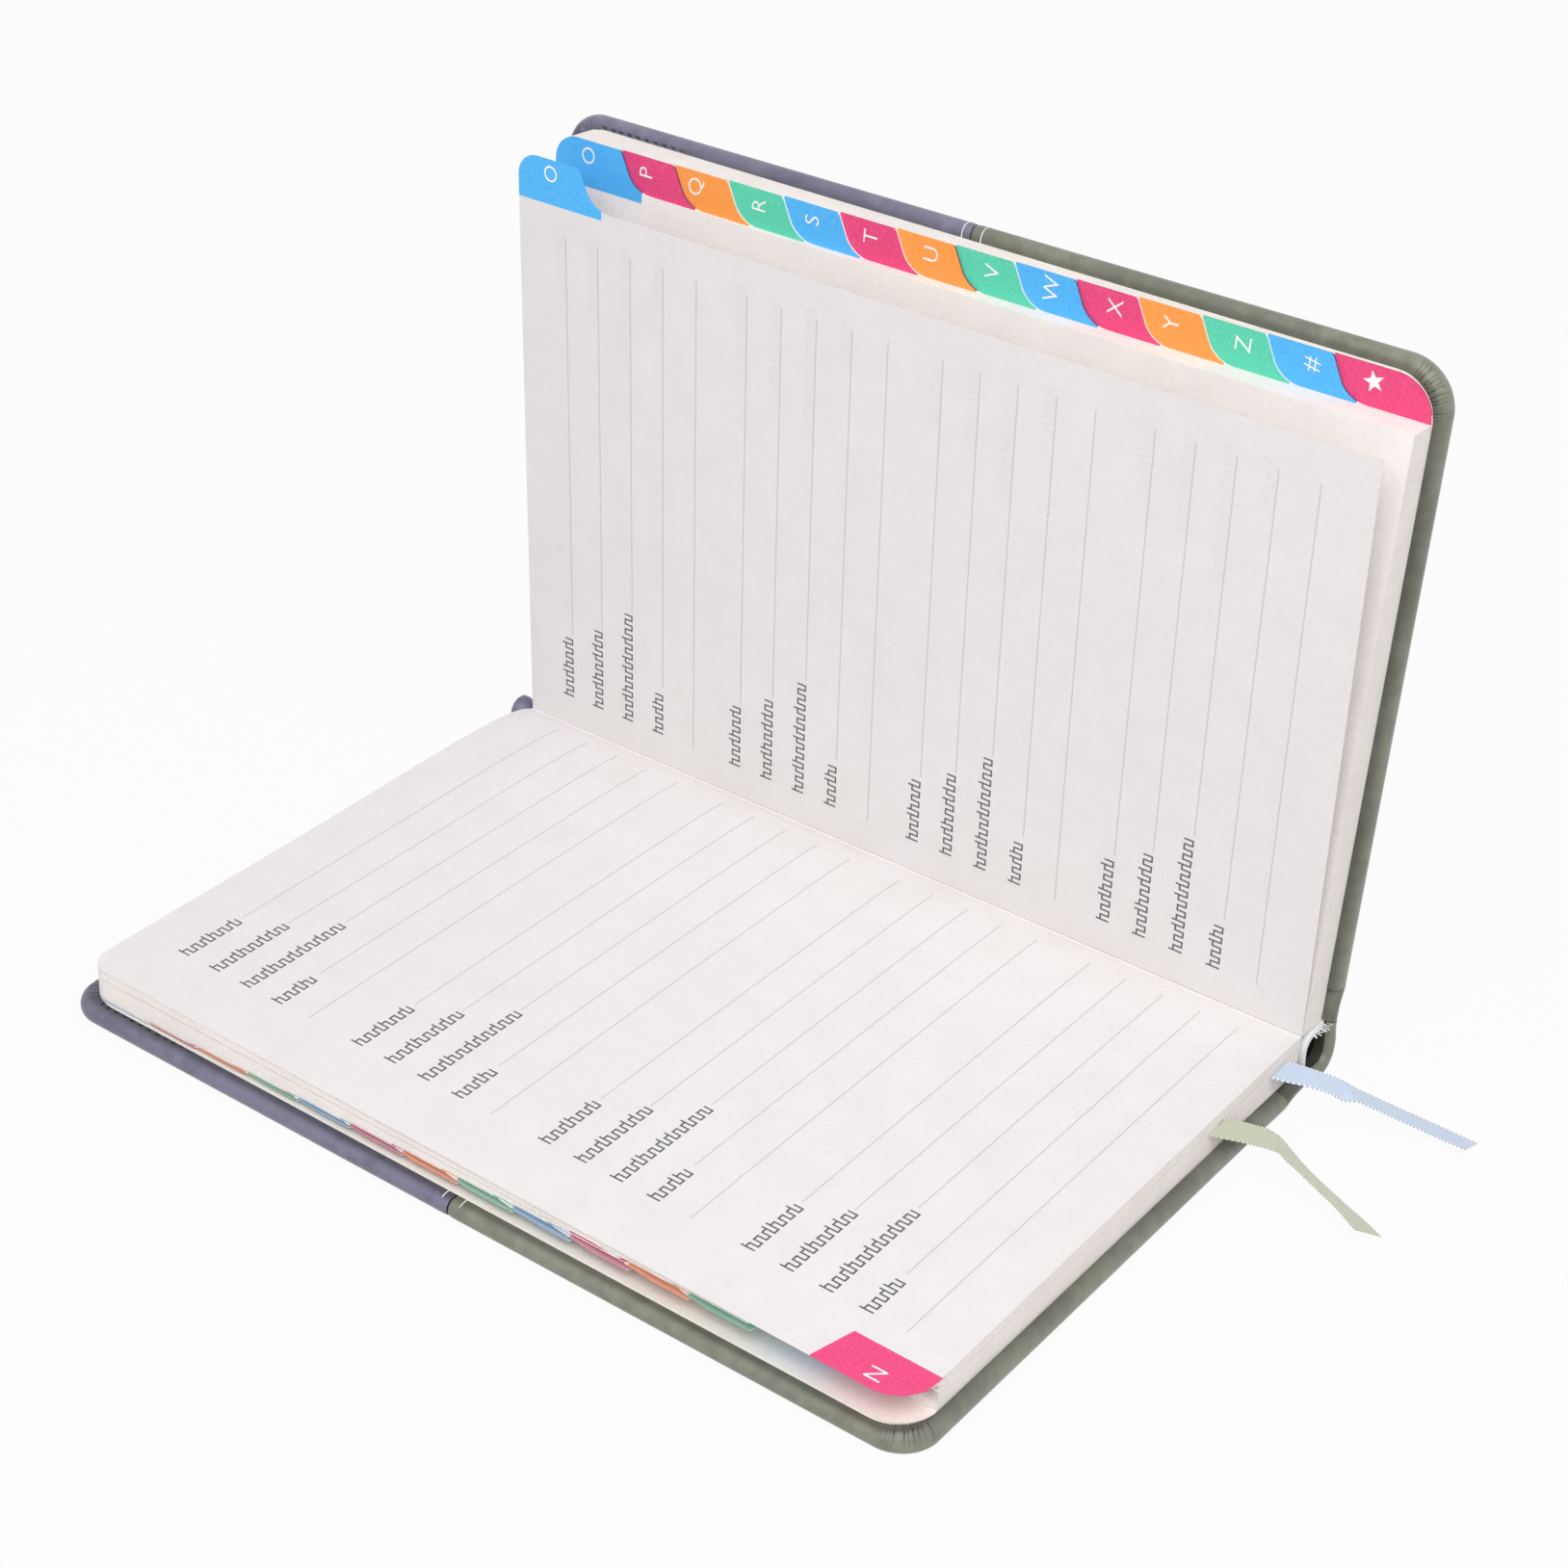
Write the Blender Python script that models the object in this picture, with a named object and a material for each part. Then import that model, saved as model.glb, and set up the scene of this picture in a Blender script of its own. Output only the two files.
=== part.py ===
# Tabbed address book standing half open: padded two-tone cover, step-cut index, two ribbons.
# Metres, +Z up. The front half lies on its cover, the back half stands up from the gutter.
# +Y runs along the spine to the head, -X to the front half's fore edge.
# The origin is on the front cover's outer face, halfway across it and halfway up the pages.

import math

import bmesh
import bpy
from mathutils import Vector

# Leaves and the step-cut index
PAGE_HEIGHT = 0.208
PAGE_WIDTH = 0.142
HEAD_CORNER = 0.0075
TAIL_CORNER = 0.010
TAB_DEPTH = 0.0082
TAB_RUN = 0.008
FIRST_TAB = 0.018
LAST_TAB = 0.0217
LEAF_THICKNESS = 0.00025
SECTION_THICKNESS = 0.00046
SECTION_GAP = 0.00009
GUTTER_CLEARANCE = 0.00015
SPINE_SETBACK = 0.0009
FRONT_LETTERS = "ABCDEFGHIJKLMN"
BACK_LETTERS = ["O", "P", "Q", "R", "S", "T", "U", "V", "W", "X", "Y", "Z", "number", "star"]

# Endpapers and the cloth lining on the folded spine of the block
FLYLEAF_THICKNESS = 0.00025
PASTEDOWN_THICKNESS = 0.0002
PASTEDOWN_SETBACK = 0.0016
ENDPAPER_GAP = 0.00012
PASTEDOWN_MARGIN = 0.0026
LINING_THICKNESS = 0.00045
LINING_GAP = 0.00015
LINING_INSET = 0.0015

# Padded covers
FORE_OVERHANG = 0.0028
HEAD_OVERHANG = 0.0042
TAIL_OVERHANG = 0.0023
COVER_CORNER = 0.0095
SMALLEST_CORNER = 0.001
LEATHER = 0.0008
TURN_IN_THICKNESS = 0.0006
TURN_IN = 0.012
BOARD_THICKNESS = 0.0019
PADDING_THICKNESS = 0.0006
EDGE_ROUND = 0.0019
FIT_GAP = 0.0001
SEAM_PLACE = 0.0015
SEAM_GAP = 0.0003

# Case spine and the two grooves beside it
GROOVE_WIDTH = 0.008
GROOVE_DEPTH = 0.0010
SPINE_RISE = 0.0013
SPINE_BULGE = 0.0048
PIECE_GAP = 0.0003

# Pose in the photograph
REST_OPENING = math.radians(92)
LEAF_LIFT = math.radians(5)

# Ribbons: flat markers held in the block, with a free end past the tail
RIBBON_WIDTH = 0.0055
RIBBON_THICKNESS = 0.0002
RIBBON_CLEARANCE = 0.00012
RIBBON_LAYER = 4
RIBBON_HEAD_INSET = 0.006
BLUE_HEAD = 0.0045
BLUE_EXIT = 0.0096
GREEN_HEAD = 0.0125
GREEN_EXIT = 0.0350
# Free ends, from the block's tail edge: across from the exit, out past the tail, down
BLUE_ROUTE = [
    (0.0002, 0.0004, 0.0000),
    (0.0014, 0.0034, 0.0003),
    (0.0030, 0.0060, 0.0009),
    (0.0073, 0.0119, 0.0034),
    (0.0117, 0.0201, 0.0068),
    (0.0145, 0.0290, 0.0092),
    (0.0154, 0.0378, 0.0101),
]
GREEN_ROUTE = [
    (0.0003, 0.0004, 0.0000),
    (0.0022, 0.0028, 0.0003),
    (0.0056, 0.0053, 0.0011),
    (0.0088, 0.0092, 0.0034),
    (0.0083, 0.0143, 0.0061),
    (0.0060, 0.0223, 0.0085),
    (0.0037, 0.0290, 0.0097),
    (0.0008, 0.0347, 0.0101),
]
RIBBON_STEPS = 4

ARC_STEPS = 7
CURVE_STEPS = 8
ROUND_STEPS = 4
SPINE_STEPS = 18
CUT_MARGIN = 0.004

# Depths measured from the plane of the open pages, down towards the cover
tabCount = len(FRONT_LETTERS)
tabPitch = (PAGE_HEIGHT - FIRST_TAB - LAST_TAB) / (tabCount - 2)
pageHalf = PAGE_HEIGHT / 2
leafTop = GUTTER_CLEARANCE
leafEnd = leafTop + LEAF_THICKNESS
sectionsTop = leafEnd + RIBBON_CLEARANCE
sectionPitch = SECTION_THICKNESS + SECTION_GAP
ribbonTop = sectionsTop + RIBBON_LAYER * sectionPitch
ribbonEnd = ribbonTop + RIBBON_THICKNESS
ribbonRoom = RIBBON_THICKNESS + RIBBON_CLEARANCE
flyleafTop = sectionsTop + tabCount * sectionPitch + ribbonRoom
flyleafEnd = flyleafTop + FLYLEAF_THICKNESS
pastedownTop = flyleafEnd + ENDPAPER_GAP
pastedownEnd = pastedownTop + PASTEDOWN_THICKNESS
coverTop = pastedownEnd + FIT_GAP
boardTop = coverTop + TURN_IN_THICKNESS + FIT_GAP
boardEnd = boardTop + BOARD_THICKNESS
paddingTop = boardEnd + FIT_GAP
paddingEnd = paddingTop + PADDING_THICKNESS
coverEnd = paddingEnd + FIT_GAP + LEATHER

coverReach = PAGE_WIDTH + FORE_OVERHANG
coverHalf = pageHalf + (HEAD_OVERHANG + TAIL_OVERHANG) / 2
coverShift = (HEAD_OVERHANG - TAIL_OVERHANG) / 2
spineRadius = coverEnd - LEATHER / 2 - SPINE_RISE
gutter = Vector(((GROOVE_WIDTH + coverReach) / 2, 0, coverEnd))
backLean = math.pi - REST_OPENING

FRONT = -1
BACK = 1


def srgb(hexColour):
    channels = [int(hexColour[i:i + 2], 16) / 255 for i in (0, 2, 4)]
    return [c / 12.92 if c <= 0.04045 else ((c + 0.055) / 1.055) ** 2.4 for c in channels]


def material(name, hexColour, roughness):
    made = bpy.data.materials.new(name)
    made.use_nodes = True
    shader = made.node_tree.nodes["Principled BSDF"]
    shader.inputs["Base Color"].default_value = srgb(hexColour) + [1]
    shader.inputs["Roughness"].default_value = roughness
    shader.inputs["Metallic"].default_value = 0
    return made


def clearScene():
    for old in list(bpy.data.objects):
        bpy.data.objects.remove(old, do_unlink=True)


def axis(name, place, parent=None, turn=0.0):
    # an empty on a hinge line, turned about the spine direction
    empty = bpy.data.objects.new(name, None)
    empty.empty_display_size = 0.01
    empty.parent = parent
    empty.location = place
    empty.rotation_euler = (0, turn, 0)
    bpy.context.scene.collection.objects.link(empty)
    return empty


def addMesh(name, bm, finish, parent, place):
    bmesh.ops.recalc_face_normals(bm, faces=bm.faces)
    mesh = bpy.data.meshes.new(name)
    bm.to_mesh(mesh)
    bm.free()
    made = bpy.data.objects.new(name, mesh)
    made.parent = parent
    made.location = place
    if finish is not None:
        mesh.materials.append(finish)
    bpy.context.scene.collection.objects.link(made)
    return made


def prism(outline, top, end, side):
    # an outline in (reach from the gutter, height along the spine), as a slab between two depths
    bm = bmesh.new()
    corners = [bm.verts.new((side * reach, along, -end)) for reach, along in outline]
    face = bm.faces.new(corners)
    grown = bmesh.ops.extrude_face_region(bm, geom=[face])
    lifted = [v for v in grown["geom"] if isinstance(v, bmesh.types.BMVert)]
    bmesh.ops.translate(bm, verts=lifted, vec=(0, 0, end - top))
    return bm


def strip(profile, low, high):
    # a closed profile in (x, z) as a bar along the spine direction
    bm = bmesh.new()
    corners = [bm.verts.new((x, low, z)) for x, z in profile]
    face = bm.faces.new(corners)
    grown = bmesh.ops.extrude_face_region(bm, geom=[face])
    moved = [v for v in grown["geom"] if isinstance(v, bmesh.types.BMVert)]
    bmesh.ops.translate(bm, verts=moved, vec=(0, high - low, 0))
    return bm


def loft(rings):
    # rings of equal count, skinned in order and capped at both ends
    bm = bmesh.new()
    rows = [[bm.verts.new(point) for point in ring] for ring in rings]
    count = len(rows[0])
    for lower, upper in zip(rows, rows[1:]):
        for i in range(count):
            j = (i + 1) % count
            bm.faces.new((lower[i], lower[j], upper[j], upper[i]))
    bm.faces.new(rows[0])
    bm.faces.new(rows[-1])
    return bm


def arc(centre, radius, start, end):
    turns = [start + (end - start) * i / ARC_STEPS for i in range(ARC_STEPS + 1)]
    return [(centre[0] + radius * math.cos(t), centre[1] + radius * math.sin(t)) for t in turns]


def tabStep(along):
    # the S-shaped cut from the full width at the tab down to the narrow width after it
    narrow = PAGE_WIDTH - TAB_DEPTH
    pull = [
        Vector((PAGE_WIDTH, along)),
        Vector((PAGE_WIDTH - 0.75 * TAB_DEPTH, along - 0.3 * TAB_RUN)),
        Vector((narrow, along - 0.55 * TAB_RUN)),
        Vector((narrow, along - TAB_RUN)),
    ]
    points = []
    for i in range(CURVE_STEPS + 1):
        t = i / CURVE_STEPS
        s = 1 - t
        points.append(tuple(pull[0] * s**3 + pull[1] * 3 * s * s * t + pull[2] * 3 * s * t * t + pull[3] * t**3))
    return points


def leafOutline(tab):
    # tab counts from 1 at the head; a leaf is full width down to its own tab, and narrow past it
    outline = [(SPINE_SETBACK, -pageHalf), (SPINE_SETBACK, pageHalf)]
    headCentre = (PAGE_WIDTH - HEAD_CORNER, pageHalf - HEAD_CORNER)
    outline += arc(headCentre, HEAD_CORNER, math.pi / 2, 0)
    if tab < tabCount:
        outline += tabStep(pageHalf - FIRST_TAB - (tab - 1) * tabPitch)
        outline.append((PAGE_WIDTH - TAB_DEPTH, -pageHalf))
    else:
        tailCentre = (PAGE_WIDTH - TAIL_CORNER, TAIL_CORNER - pageHalf)
        outline += arc(tailCentre, TAIL_CORNER, 0, -math.pi / 2)
    return outline


def coverOutline(start, inset):
    # the cover's edge, drawn in by inset on its three free sides
    radius = max(COVER_CORNER - inset, SMALLEST_CORNER)
    reach = coverReach - inset - radius
    half = coverHalf - inset - radius
    outline = [(start, coverShift + coverHalf - inset)]
    outline += arc((reach, coverShift + half), radius, math.pi / 2, 0)
    outline += arc((reach, coverShift - half), radius, 0, -math.pi / 2)
    outline.append((start, coverShift + inset - coverHalf))
    return outline


def coverSlab(start, inset, top, end, rounding, side):
    # a slab of the cover's outline whose free edges are rounded on both faces
    rings = []
    steps = range(ROUND_STEPS + 1)
    for i in steps:
        t = math.pi / 2 * i / ROUND_STEPS
        rings.append((inset + rounding * (1 - math.sin(t)), top + rounding * (1 - math.cos(t))))
    for i in steps:
        t = math.pi / 2 * i / ROUND_STEPS
        rings.append((inset + rounding * (1 - math.cos(t)), end - rounding * (1 - math.sin(t))))
    points = []
    for drawnIn, depth in rings:
        points.append([(side * r, y, -depth) for r, y in coverOutline(start, drawnIn)])
    return loft(points)


def cutter(name, bm, parent, place):
    made = addMesh(name, bm, None, parent, place)
    made.hide_render = True
    made.display_type = "WIRE"
    return made


def cut(target, tool):
    step = target.modifiers.new(tool.name, "BOOLEAN")
    step.operation = "DIFFERENCE"
    step.solver = "EXACT"
    step.object = tool


def bothTones(name):
    # the slate half reaches to the head, the olive half to the tail
    return (
        (name + "_slate", "slate", SEAM_PLACE + SEAM_GAP / 2, coverShift + coverHalf),
        (name + "_olive", "olive", coverShift - coverHalf, SEAM_PLACE - SEAM_GAP / 2),
    )


def buildCover(name, side, parent, place, finishes):
    hollowStart = GROOVE_WIDTH - CUT_MARGIN
    hollow = coverSlab(
        hollowStart, LEATHER, coverTop + TURN_IN_THICKNESS, coverEnd - LEATHER, EDGE_ROUND - LEATHER, side
    )
    window = prism(coverOutline(hollowStart, TURN_IN), coverTop - CUT_MARGIN, boardTop, side)
    tools = [cutter(name + "_hollow", hollow, parent, place), cutter(name + "_window", window, parent, place)]
    for node, tone, low, high in bothTones(name + "_leather"):
        shell = coverSlab(GROOVE_WIDTH, 0, coverTop, coverEnd, EDGE_ROUND, side)
        skin = addMesh(node, shell, finishes[tone], parent, place)
        for tool in tools:
            cut(skin, tool)
        far = 2 * coverHalf
        rest = (low - far, low) if tone == "slate" else (high, high + far)
        left = side * hollowStart
        right = side * (coverReach + CUT_MARGIN)
        box = [(left, CUT_MARGIN - coverTop), (right, CUT_MARGIN - coverTop)]
        box += [(right, -coverEnd - CUT_MARGIN), (left, -coverEnd - CUT_MARGIN)]
        cut(skin, cutter(node + "_other_half", strip(box, *rest), parent, place))

    inner = coverOutline(GROOVE_WIDTH + FIT_GAP, EDGE_ROUND + FIT_GAP)
    addMesh(name + "_board", prism(inner, boardTop, boardEnd, side), finishes["board"], parent, place)
    addMesh(name + "_padding", prism(inner, paddingTop, paddingEnd, side), finishes["foam"], parent, place)
    sheet = coverOutline(PASTEDOWN_SETBACK, PASTEDOWN_MARGIN)
    addMesh(name + "_pastedown", prism(sheet, pastedownTop, pastedownEnd, side), finishes["paper"], parent, place)
    buildGroove(name, side, parent, place, finishes)


def buildGroove(name, side, parent, place, finishes):
    # the flexible leather between cover board and spine, pressed in towards the block
    first = GROOVE_WIDTH - PIECE_GAP
    last = PIECE_GAP / 2
    middle = []
    for i in range(SPINE_STEPS + 1):
        s = i / SPINE_STEPS
        depth = (coverEnd - LEATHER / 2) * (1 - s) + spineRadius * s
        depth -= GROOVE_DEPTH * math.sin(math.pi * s) ** 2
        middle.append((first + (last - first) * s, depth))
    outer = [(side * r, -depth - LEATHER / 2) for r, depth in middle]
    inner = [(side * r, -depth + LEATHER / 2) for r, depth in reversed(middle)]
    for node, tone, low, high in bothTones(name + "_joint_leather"):
        addMesh(node, strip(outer + inner, low, high), finishes[tone], parent, place)


def buildSpine(parent, place, finishes):
    # the case spine bulges round the gutter, from the front groove to the back groove
    start = PIECE_GAP / 2 / spineRadius
    outer = []
    inner = []
    for i in range(SPINE_STEPS + 1):
        share = i / SPINE_STEPS
        turn = start + (backLean - 2 * start) * share
        radius = spineRadius + SPINE_BULGE * math.sin(math.pi * share) ** 2
        direction = Vector((math.sin(turn), -math.cos(turn)))
        outer.append(tuple(direction * (radius + LEATHER / 2)))
        inner.append(tuple(direction * (radius - LEATHER / 2)))
    for node, tone, low, high in bothTones("spine_leather"):
        addMesh(node, strip(outer + inner[::-1], low, high), finishes[tone], parent, place)


def buildBlock(name, side, tabs, parent, place, finishes):
    # tabs lists (letter, tab position) from the open page down to the cover
    # the ribbons lie between two sections of the front half
    for layer, (letter, tab) in enumerate(tabs):
        top = sectionsTop + layer * sectionPitch
        if side == BACK or layer >= RIBBON_LAYER:
            top += ribbonRoom
        body = prism(leafOutline(tab), top, top + SECTION_THICKNESS, side)
        addMesh("section_" + letter, body, finishes["paper"], parent, place)
    flyleaf = prism(leafOutline(tabCount), flyleafTop, flyleafEnd, side)
    addMesh(name + "_flyleaf", flyleaf, finishes["paper"], parent, place)
    reach = [LINING_GAP, LINING_GAP + LINING_THICKNESS]
    half = pageHalf - LINING_INSET
    lining = [(reach[0], -half), (reach[1], -half), (reach[1], half), (reach[0], half)]
    cloth = prism(lining, sectionsTop, flyleafEnd, side)
    addMesh(name + "_spine_lining", cloth, finishes["cloth"], parent, place)


def smoothRoute(points, steps):
    # Catmull-Rom through the route's own points
    ends = [2 * points[0] - points[1]] + points + [2 * points[-1] - points[-2]]
    route = []
    for a, b, c, d in zip(ends, ends[1:], ends[2:], ends[3:]):
        for i in range(steps):
            t = i / steps
            route.append(
                0.5 * (2 * b + (c - a) * t + (2 * a - 5 * b + 4 * c - d) * t**2 + (3 * b - a - 3 * c + d) * t**3)
            )
    route.append(points[-1])
    return route


def buildRibbon(name, head, exitReach, offsets, parent, place, finish):
    half = RIBBON_WIDTH / 2
    top = pageHalf - RIBBON_HEAD_INSET
    held = [(exitReach - half, -pageHalf), (exitReach + half, -pageHalf), (head + half, top), (head - half, top)]
    addMesh(name + "_held", prism(held, ribbonTop, ribbonEnd, FRONT), finish, parent, place)

    leave = Vector((-exitReach, -pageHalf, -(ribbonTop + ribbonEnd) / 2))
    points = [leave + Vector((across, -out, -down)) for across, out, down in offsets]
    route = smoothRoute(points, RIBBON_STEPS)
    rings = []
    for i, middle in enumerate(route):
        ahead = route[min(i + 1, len(route) - 1)] - route[max(i - 1, 0)]
        if i == 0:
            ahead = Vector((0, -1, 0))
        wide = ahead.cross(Vector((0, 0, 1))).normalized()
        thick = wide.cross(ahead).normalized()
        wide = wide * half
        thick = thick * RIBBON_THICKNESS / 2
        rings.append([middle + wide + thick, middle + wide - thick, middle - wide - thick, middle - wide + thick])
    addMesh(name + "_tail", loft(rings), finish, parent, place)


def main():
    clearScene()
    finishes = {
        "slate": material("slate_leather", "75758a", 0.55),
        "olive": material("olive_leather", "7d8070", 0.55),
        "paper": material("cream_paper", "efece8", 0.85),
        "board": material("grey_board", "9a9489", 0.9),
        "foam": material("foam_padding", "d8d4c8", 0.95),
        "cloth": material("white_lining_cloth", "e6e6ea", 0.9),
        "blue": material("blue_satin", "c3d2e8", 0.45),
        "green": material("sage_satin", "c3c8ae", 0.45),
    }

    frontHinge = gutter + Vector((0, 0, -pastedownTop))
    frontAxis = axis("front_cover_axis", frontHinge)
    gutterAxis = axis("gutter_axis", gutter - frontHinge, frontAxis, -backLean)
    backAxis = axis("back_cover_axis", (0, 0, -pastedownTop), gutterAxis)
    turningAxis = axis("turning_leaf_axis", gutter - frontHinge, frontAxis)
    liftedAxis = axis("lifted_leaf_axis", (0, 0, 0), gutterAxis, -LEAF_LIFT)

    atGutter = gutter - frontHinge
    home = Vector((0, 0, 0))
    buildCover("front", FRONT, None, gutter, finishes)
    frontTabs = [(letter, i + 1) for i, letter in enumerate(FRONT_LETTERS)]
    buildBlock("front", FRONT, frontTabs[::-1], frontAxis, atGutter, finishes)
    buildSpine(frontAxis, atGutter, finishes)

    backTabs = [(letter, i + 1) for i, letter in enumerate(BACK_LETTERS)]
    buildBlock("back", BACK, backTabs, gutterAxis, home, finishes)
    buildCover("back", BACK, backAxis, Vector((0, 0, pastedownTop)), finishes)

    turning = prism(leafOutline(tabCount), leafTop, leafEnd, FRONT)
    addMesh("leaf_N", turning, finishes["paper"], turningAxis, home)
    lifted = prism(leafOutline(1), leafTop, leafEnd, BACK)
    addMesh("leaf_O", lifted, finishes["paper"], liftedAxis, home)

    buildRibbon("ribbon_blue", BLUE_HEAD, BLUE_EXIT, BLUE_ROUTE, frontAxis, atGutter, finishes["blue"])
    buildRibbon("ribbon_green", GREEN_HEAD, GREEN_EXIT, GREEN_ROUTE, frontAxis, atGutter, finishes["green"])

    bpy.context.view_layer.update()
    print("gutter", [round(1000 * c, 3) for c in gutter], "mm")
    print("front hinge", [round(1000 * c, 3) for c in frontAxis.matrix_world.translation], "mm")
    print("back hinge", [round(1000 * c, 3) for c in backAxis.matrix_world.translation], "mm")


main()
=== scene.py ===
# Tabbed address book standing half open: padded two-tone cover, step-cut index, ruled leaves, ribbons
import math
import random

import bmesh
import bpy
from mathutils import Matrix, Quaternion, Vector


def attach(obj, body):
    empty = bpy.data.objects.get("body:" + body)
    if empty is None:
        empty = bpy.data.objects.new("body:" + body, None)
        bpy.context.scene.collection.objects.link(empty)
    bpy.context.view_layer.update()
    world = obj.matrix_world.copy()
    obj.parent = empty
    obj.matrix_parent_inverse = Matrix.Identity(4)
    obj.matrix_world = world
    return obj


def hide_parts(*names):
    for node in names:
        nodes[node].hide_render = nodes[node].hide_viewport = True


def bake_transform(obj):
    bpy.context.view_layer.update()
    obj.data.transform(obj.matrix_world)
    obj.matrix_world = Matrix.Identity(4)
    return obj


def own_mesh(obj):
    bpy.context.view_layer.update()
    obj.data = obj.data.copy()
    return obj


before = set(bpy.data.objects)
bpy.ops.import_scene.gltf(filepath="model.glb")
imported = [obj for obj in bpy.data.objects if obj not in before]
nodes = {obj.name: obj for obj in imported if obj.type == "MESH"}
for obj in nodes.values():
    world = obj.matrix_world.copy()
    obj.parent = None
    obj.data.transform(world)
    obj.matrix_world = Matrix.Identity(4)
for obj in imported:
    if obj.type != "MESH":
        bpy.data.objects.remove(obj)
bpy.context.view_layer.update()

mm = 0.001

# The gutter is where the two halves meet. Reach is measured from it, depth down from the open pages.
book = {
    "gutter": Vector((76.4, 0, 13.41)) * mm,
    "backTurn": math.radians(88),      # the standing half's lean from lying flat to the right
    "leafLift": math.radians(5),       # the springy O leaf stands off its block
    "foreSag": 1.7 * mm,               # the lying block is pressed thinner at its fore edge
    "sagDepth": 8.8 * mm,              # where the endpapers lie flat again
    "pressed": 0.8,                    # what is left of the lying block's swell when the book is shut
    "seam": 1.5 * mm,                  # slate above this height on the cover, olive below
}
# how the open page of the lying half rolls up from the gutter
page = {
    "roll": 1.25 * mm,
    "headRoll": 0.55 * mm,             # more at the head, less at the tail
    "middleRoll": 0.3 * mm,
    "foreLoss": 0.5,                   # share of the roll that is gone at the fore edge
    "gutterRoll": 5 * mm,              # how soon it rises beside the gutter
    "curl": 1.3 * mm,                  # extra curl at the head, from this height up
    "curlFrom": 30 * mm,
    "curlReach": 22 * mm,
    "curlWide": 40 * mm,
}
gutter = book["gutter"]
front = -1
back = 1


# small helpers

def deselect():
    bpy.ops.object.select_all(action="DESELECT")


def hexLinear(hexColour):
    shares = [int(hexColour[i:i + 2], 16) / 255 for i in (0, 2, 4)]
    return tuple(c / 12.92 if c <= 0.04045 else ((c + 0.055) / 1.055) ** 2.4 for c in shares) + (1,)


def selectOnly(piece):
    deselect()
    piece.select_set(True)
    bpy.context.view_layer.objects.active = piece


def nameIt(piece, name):
    piece.name = name
    piece.data.name = name
    return piece


def startGrid(name, columns, rows):
    deselect()
    bpy.ops.mesh.primitive_grid_add(x_subdivisions=columns, y_subdivisions=rows, size=1)
    return nameIt(bpy.context.object, name)


def startPlane(name, lowX, highX, lowY, highY, z):
    deselect()
    bpy.ops.mesh.primitive_plane_add(size=1, location=((lowX + highX) / 2, (lowY + highY) / 2, z))
    piece = nameIt(bpy.context.object, name)
    piece.scale = (highX - lowX, highY - lowY, 1)
    bpy.ops.object.transform_apply(location=True, rotation=True, scale=True)
    return piece


def editMode():
    bpy.ops.object.mode_set(mode="EDIT")


def objectMode():
    bpy.ops.object.mode_set(mode="OBJECT")


def pick(piece, kind, test):
    # in edit mode: select only what passes the test on its corner or middle
    bpy.ops.mesh.select_mode(type=kind)
    bpy.ops.mesh.select_all(action="DESELECT")
    bm = bmesh.from_edit_mesh(piece.data)
    if kind == "VERT":
        chosen = [v for v in bm.verts if test(v.co)]
    elif kind == "EDGE":
        chosen = [e for e in bm.edges if test(e.verts[0].co, e.verts[1].co)]
    else:
        chosen = [f for f in bm.faces if test(f.calc_center_median(), f.normal)]
    for part in chosen:
        part.select_set(True)
    bm.select_flush_mode()
    bmesh.update_edit_mesh(piece.data)


def sliceAt(point, normal, **options):
    bpy.ops.mesh.select_all(action="SELECT")
    bpy.ops.mesh.bisect(plane_co=point, plane_no=normal, **options)


def thicken(distance):
    # in edit mode: all faces pulled out into a closed slab
    bpy.ops.mesh.select_all(action="SELECT")
    bpy.ops.mesh.extrude_region_move(TRANSFORM_OT_translate={"value": (0, 0, distance)})
    bpy.ops.mesh.select_all(action="SELECT")
    bpy.ops.mesh.normals_make_consistent(inside=False)


def useModifier(piece, kind, **settings):
    selectOnly(piece)
    bpy.ops.object.modifier_add(type=kind)
    step = piece.modifiers[-1]
    for key, value in settings.items():
        setattr(step, key, value)
    bpy.ops.object.modifier_apply(modifier=step.name)


def smooth(piece, degrees=35):
    selectOnly(piece)
    bpy.ops.object.shade_smooth_by_angle(angle=math.radians(degrees))


def joinPieces(name, parts):
    deselect()
    for part in parts:
        part.select_set(True)
    bpy.context.view_layer.objects.active = parts[0]
    if len(parts) > 1:
        bpy.ops.object.join()
    return nameIt(bpy.context.view_layer.objects.active, name)


def copyPiece(piece, name):
    selectOnly(piece)
    bpy.ops.object.duplicate(linked=False)
    return nameIt(bpy.context.object, name)


def standUp(piece, turn=None):
    # a piece built lying to the right is turned up about the gutter, onto the standing half
    turn = book["backTurn"] if turn is None else turn
    about = Matrix.Translation(gutter) @ Matrix.Rotation(-turn, 4, "Y") @ Matrix.Translation(-gutter)
    piece.data.transform(about)
    return piece


def swell(reach, y):
    # the open page rises from the gutter in a low roll, highest at its head
    reach = max(reach, 0)
    high = y / leafCut["half"]
    roll = page["roll"] + page["headRoll"] * high + page["middleRoll"] * math.cos(math.pi * high / 2)
    roll *= 1 - page["foreLoss"] * (reach / leafCut["wide"]) ** 3
    curlAlong = max(0.0, (y - page["curlFrom"]) / (leafCut["half"] - page["curlFrom"])) ** 3
    curl = page["curl"] * curlAlong * math.exp(-((reach - page["curlReach"]) / page["curlWide"]) ** 2)
    return (1 - math.exp(-reach / page["gutterRoll"])) * (roll + curl)


def settle(piece):
    # the lying block swells near the gutter and is pressed down towards its fore edge
    for v in piece.data.vertices:
        reach = gutter.x - v.co.x
        depth = gutter.z - v.co.z
        share = max(0.0, 1 - max(depth, 0) / book["sagDepth"])
        v.co.z += (swell(reach, v.co.y) - book["foreSag"] * reach / leafCut["wide"]) * share
    piece.data.update()
    return piece


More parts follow.
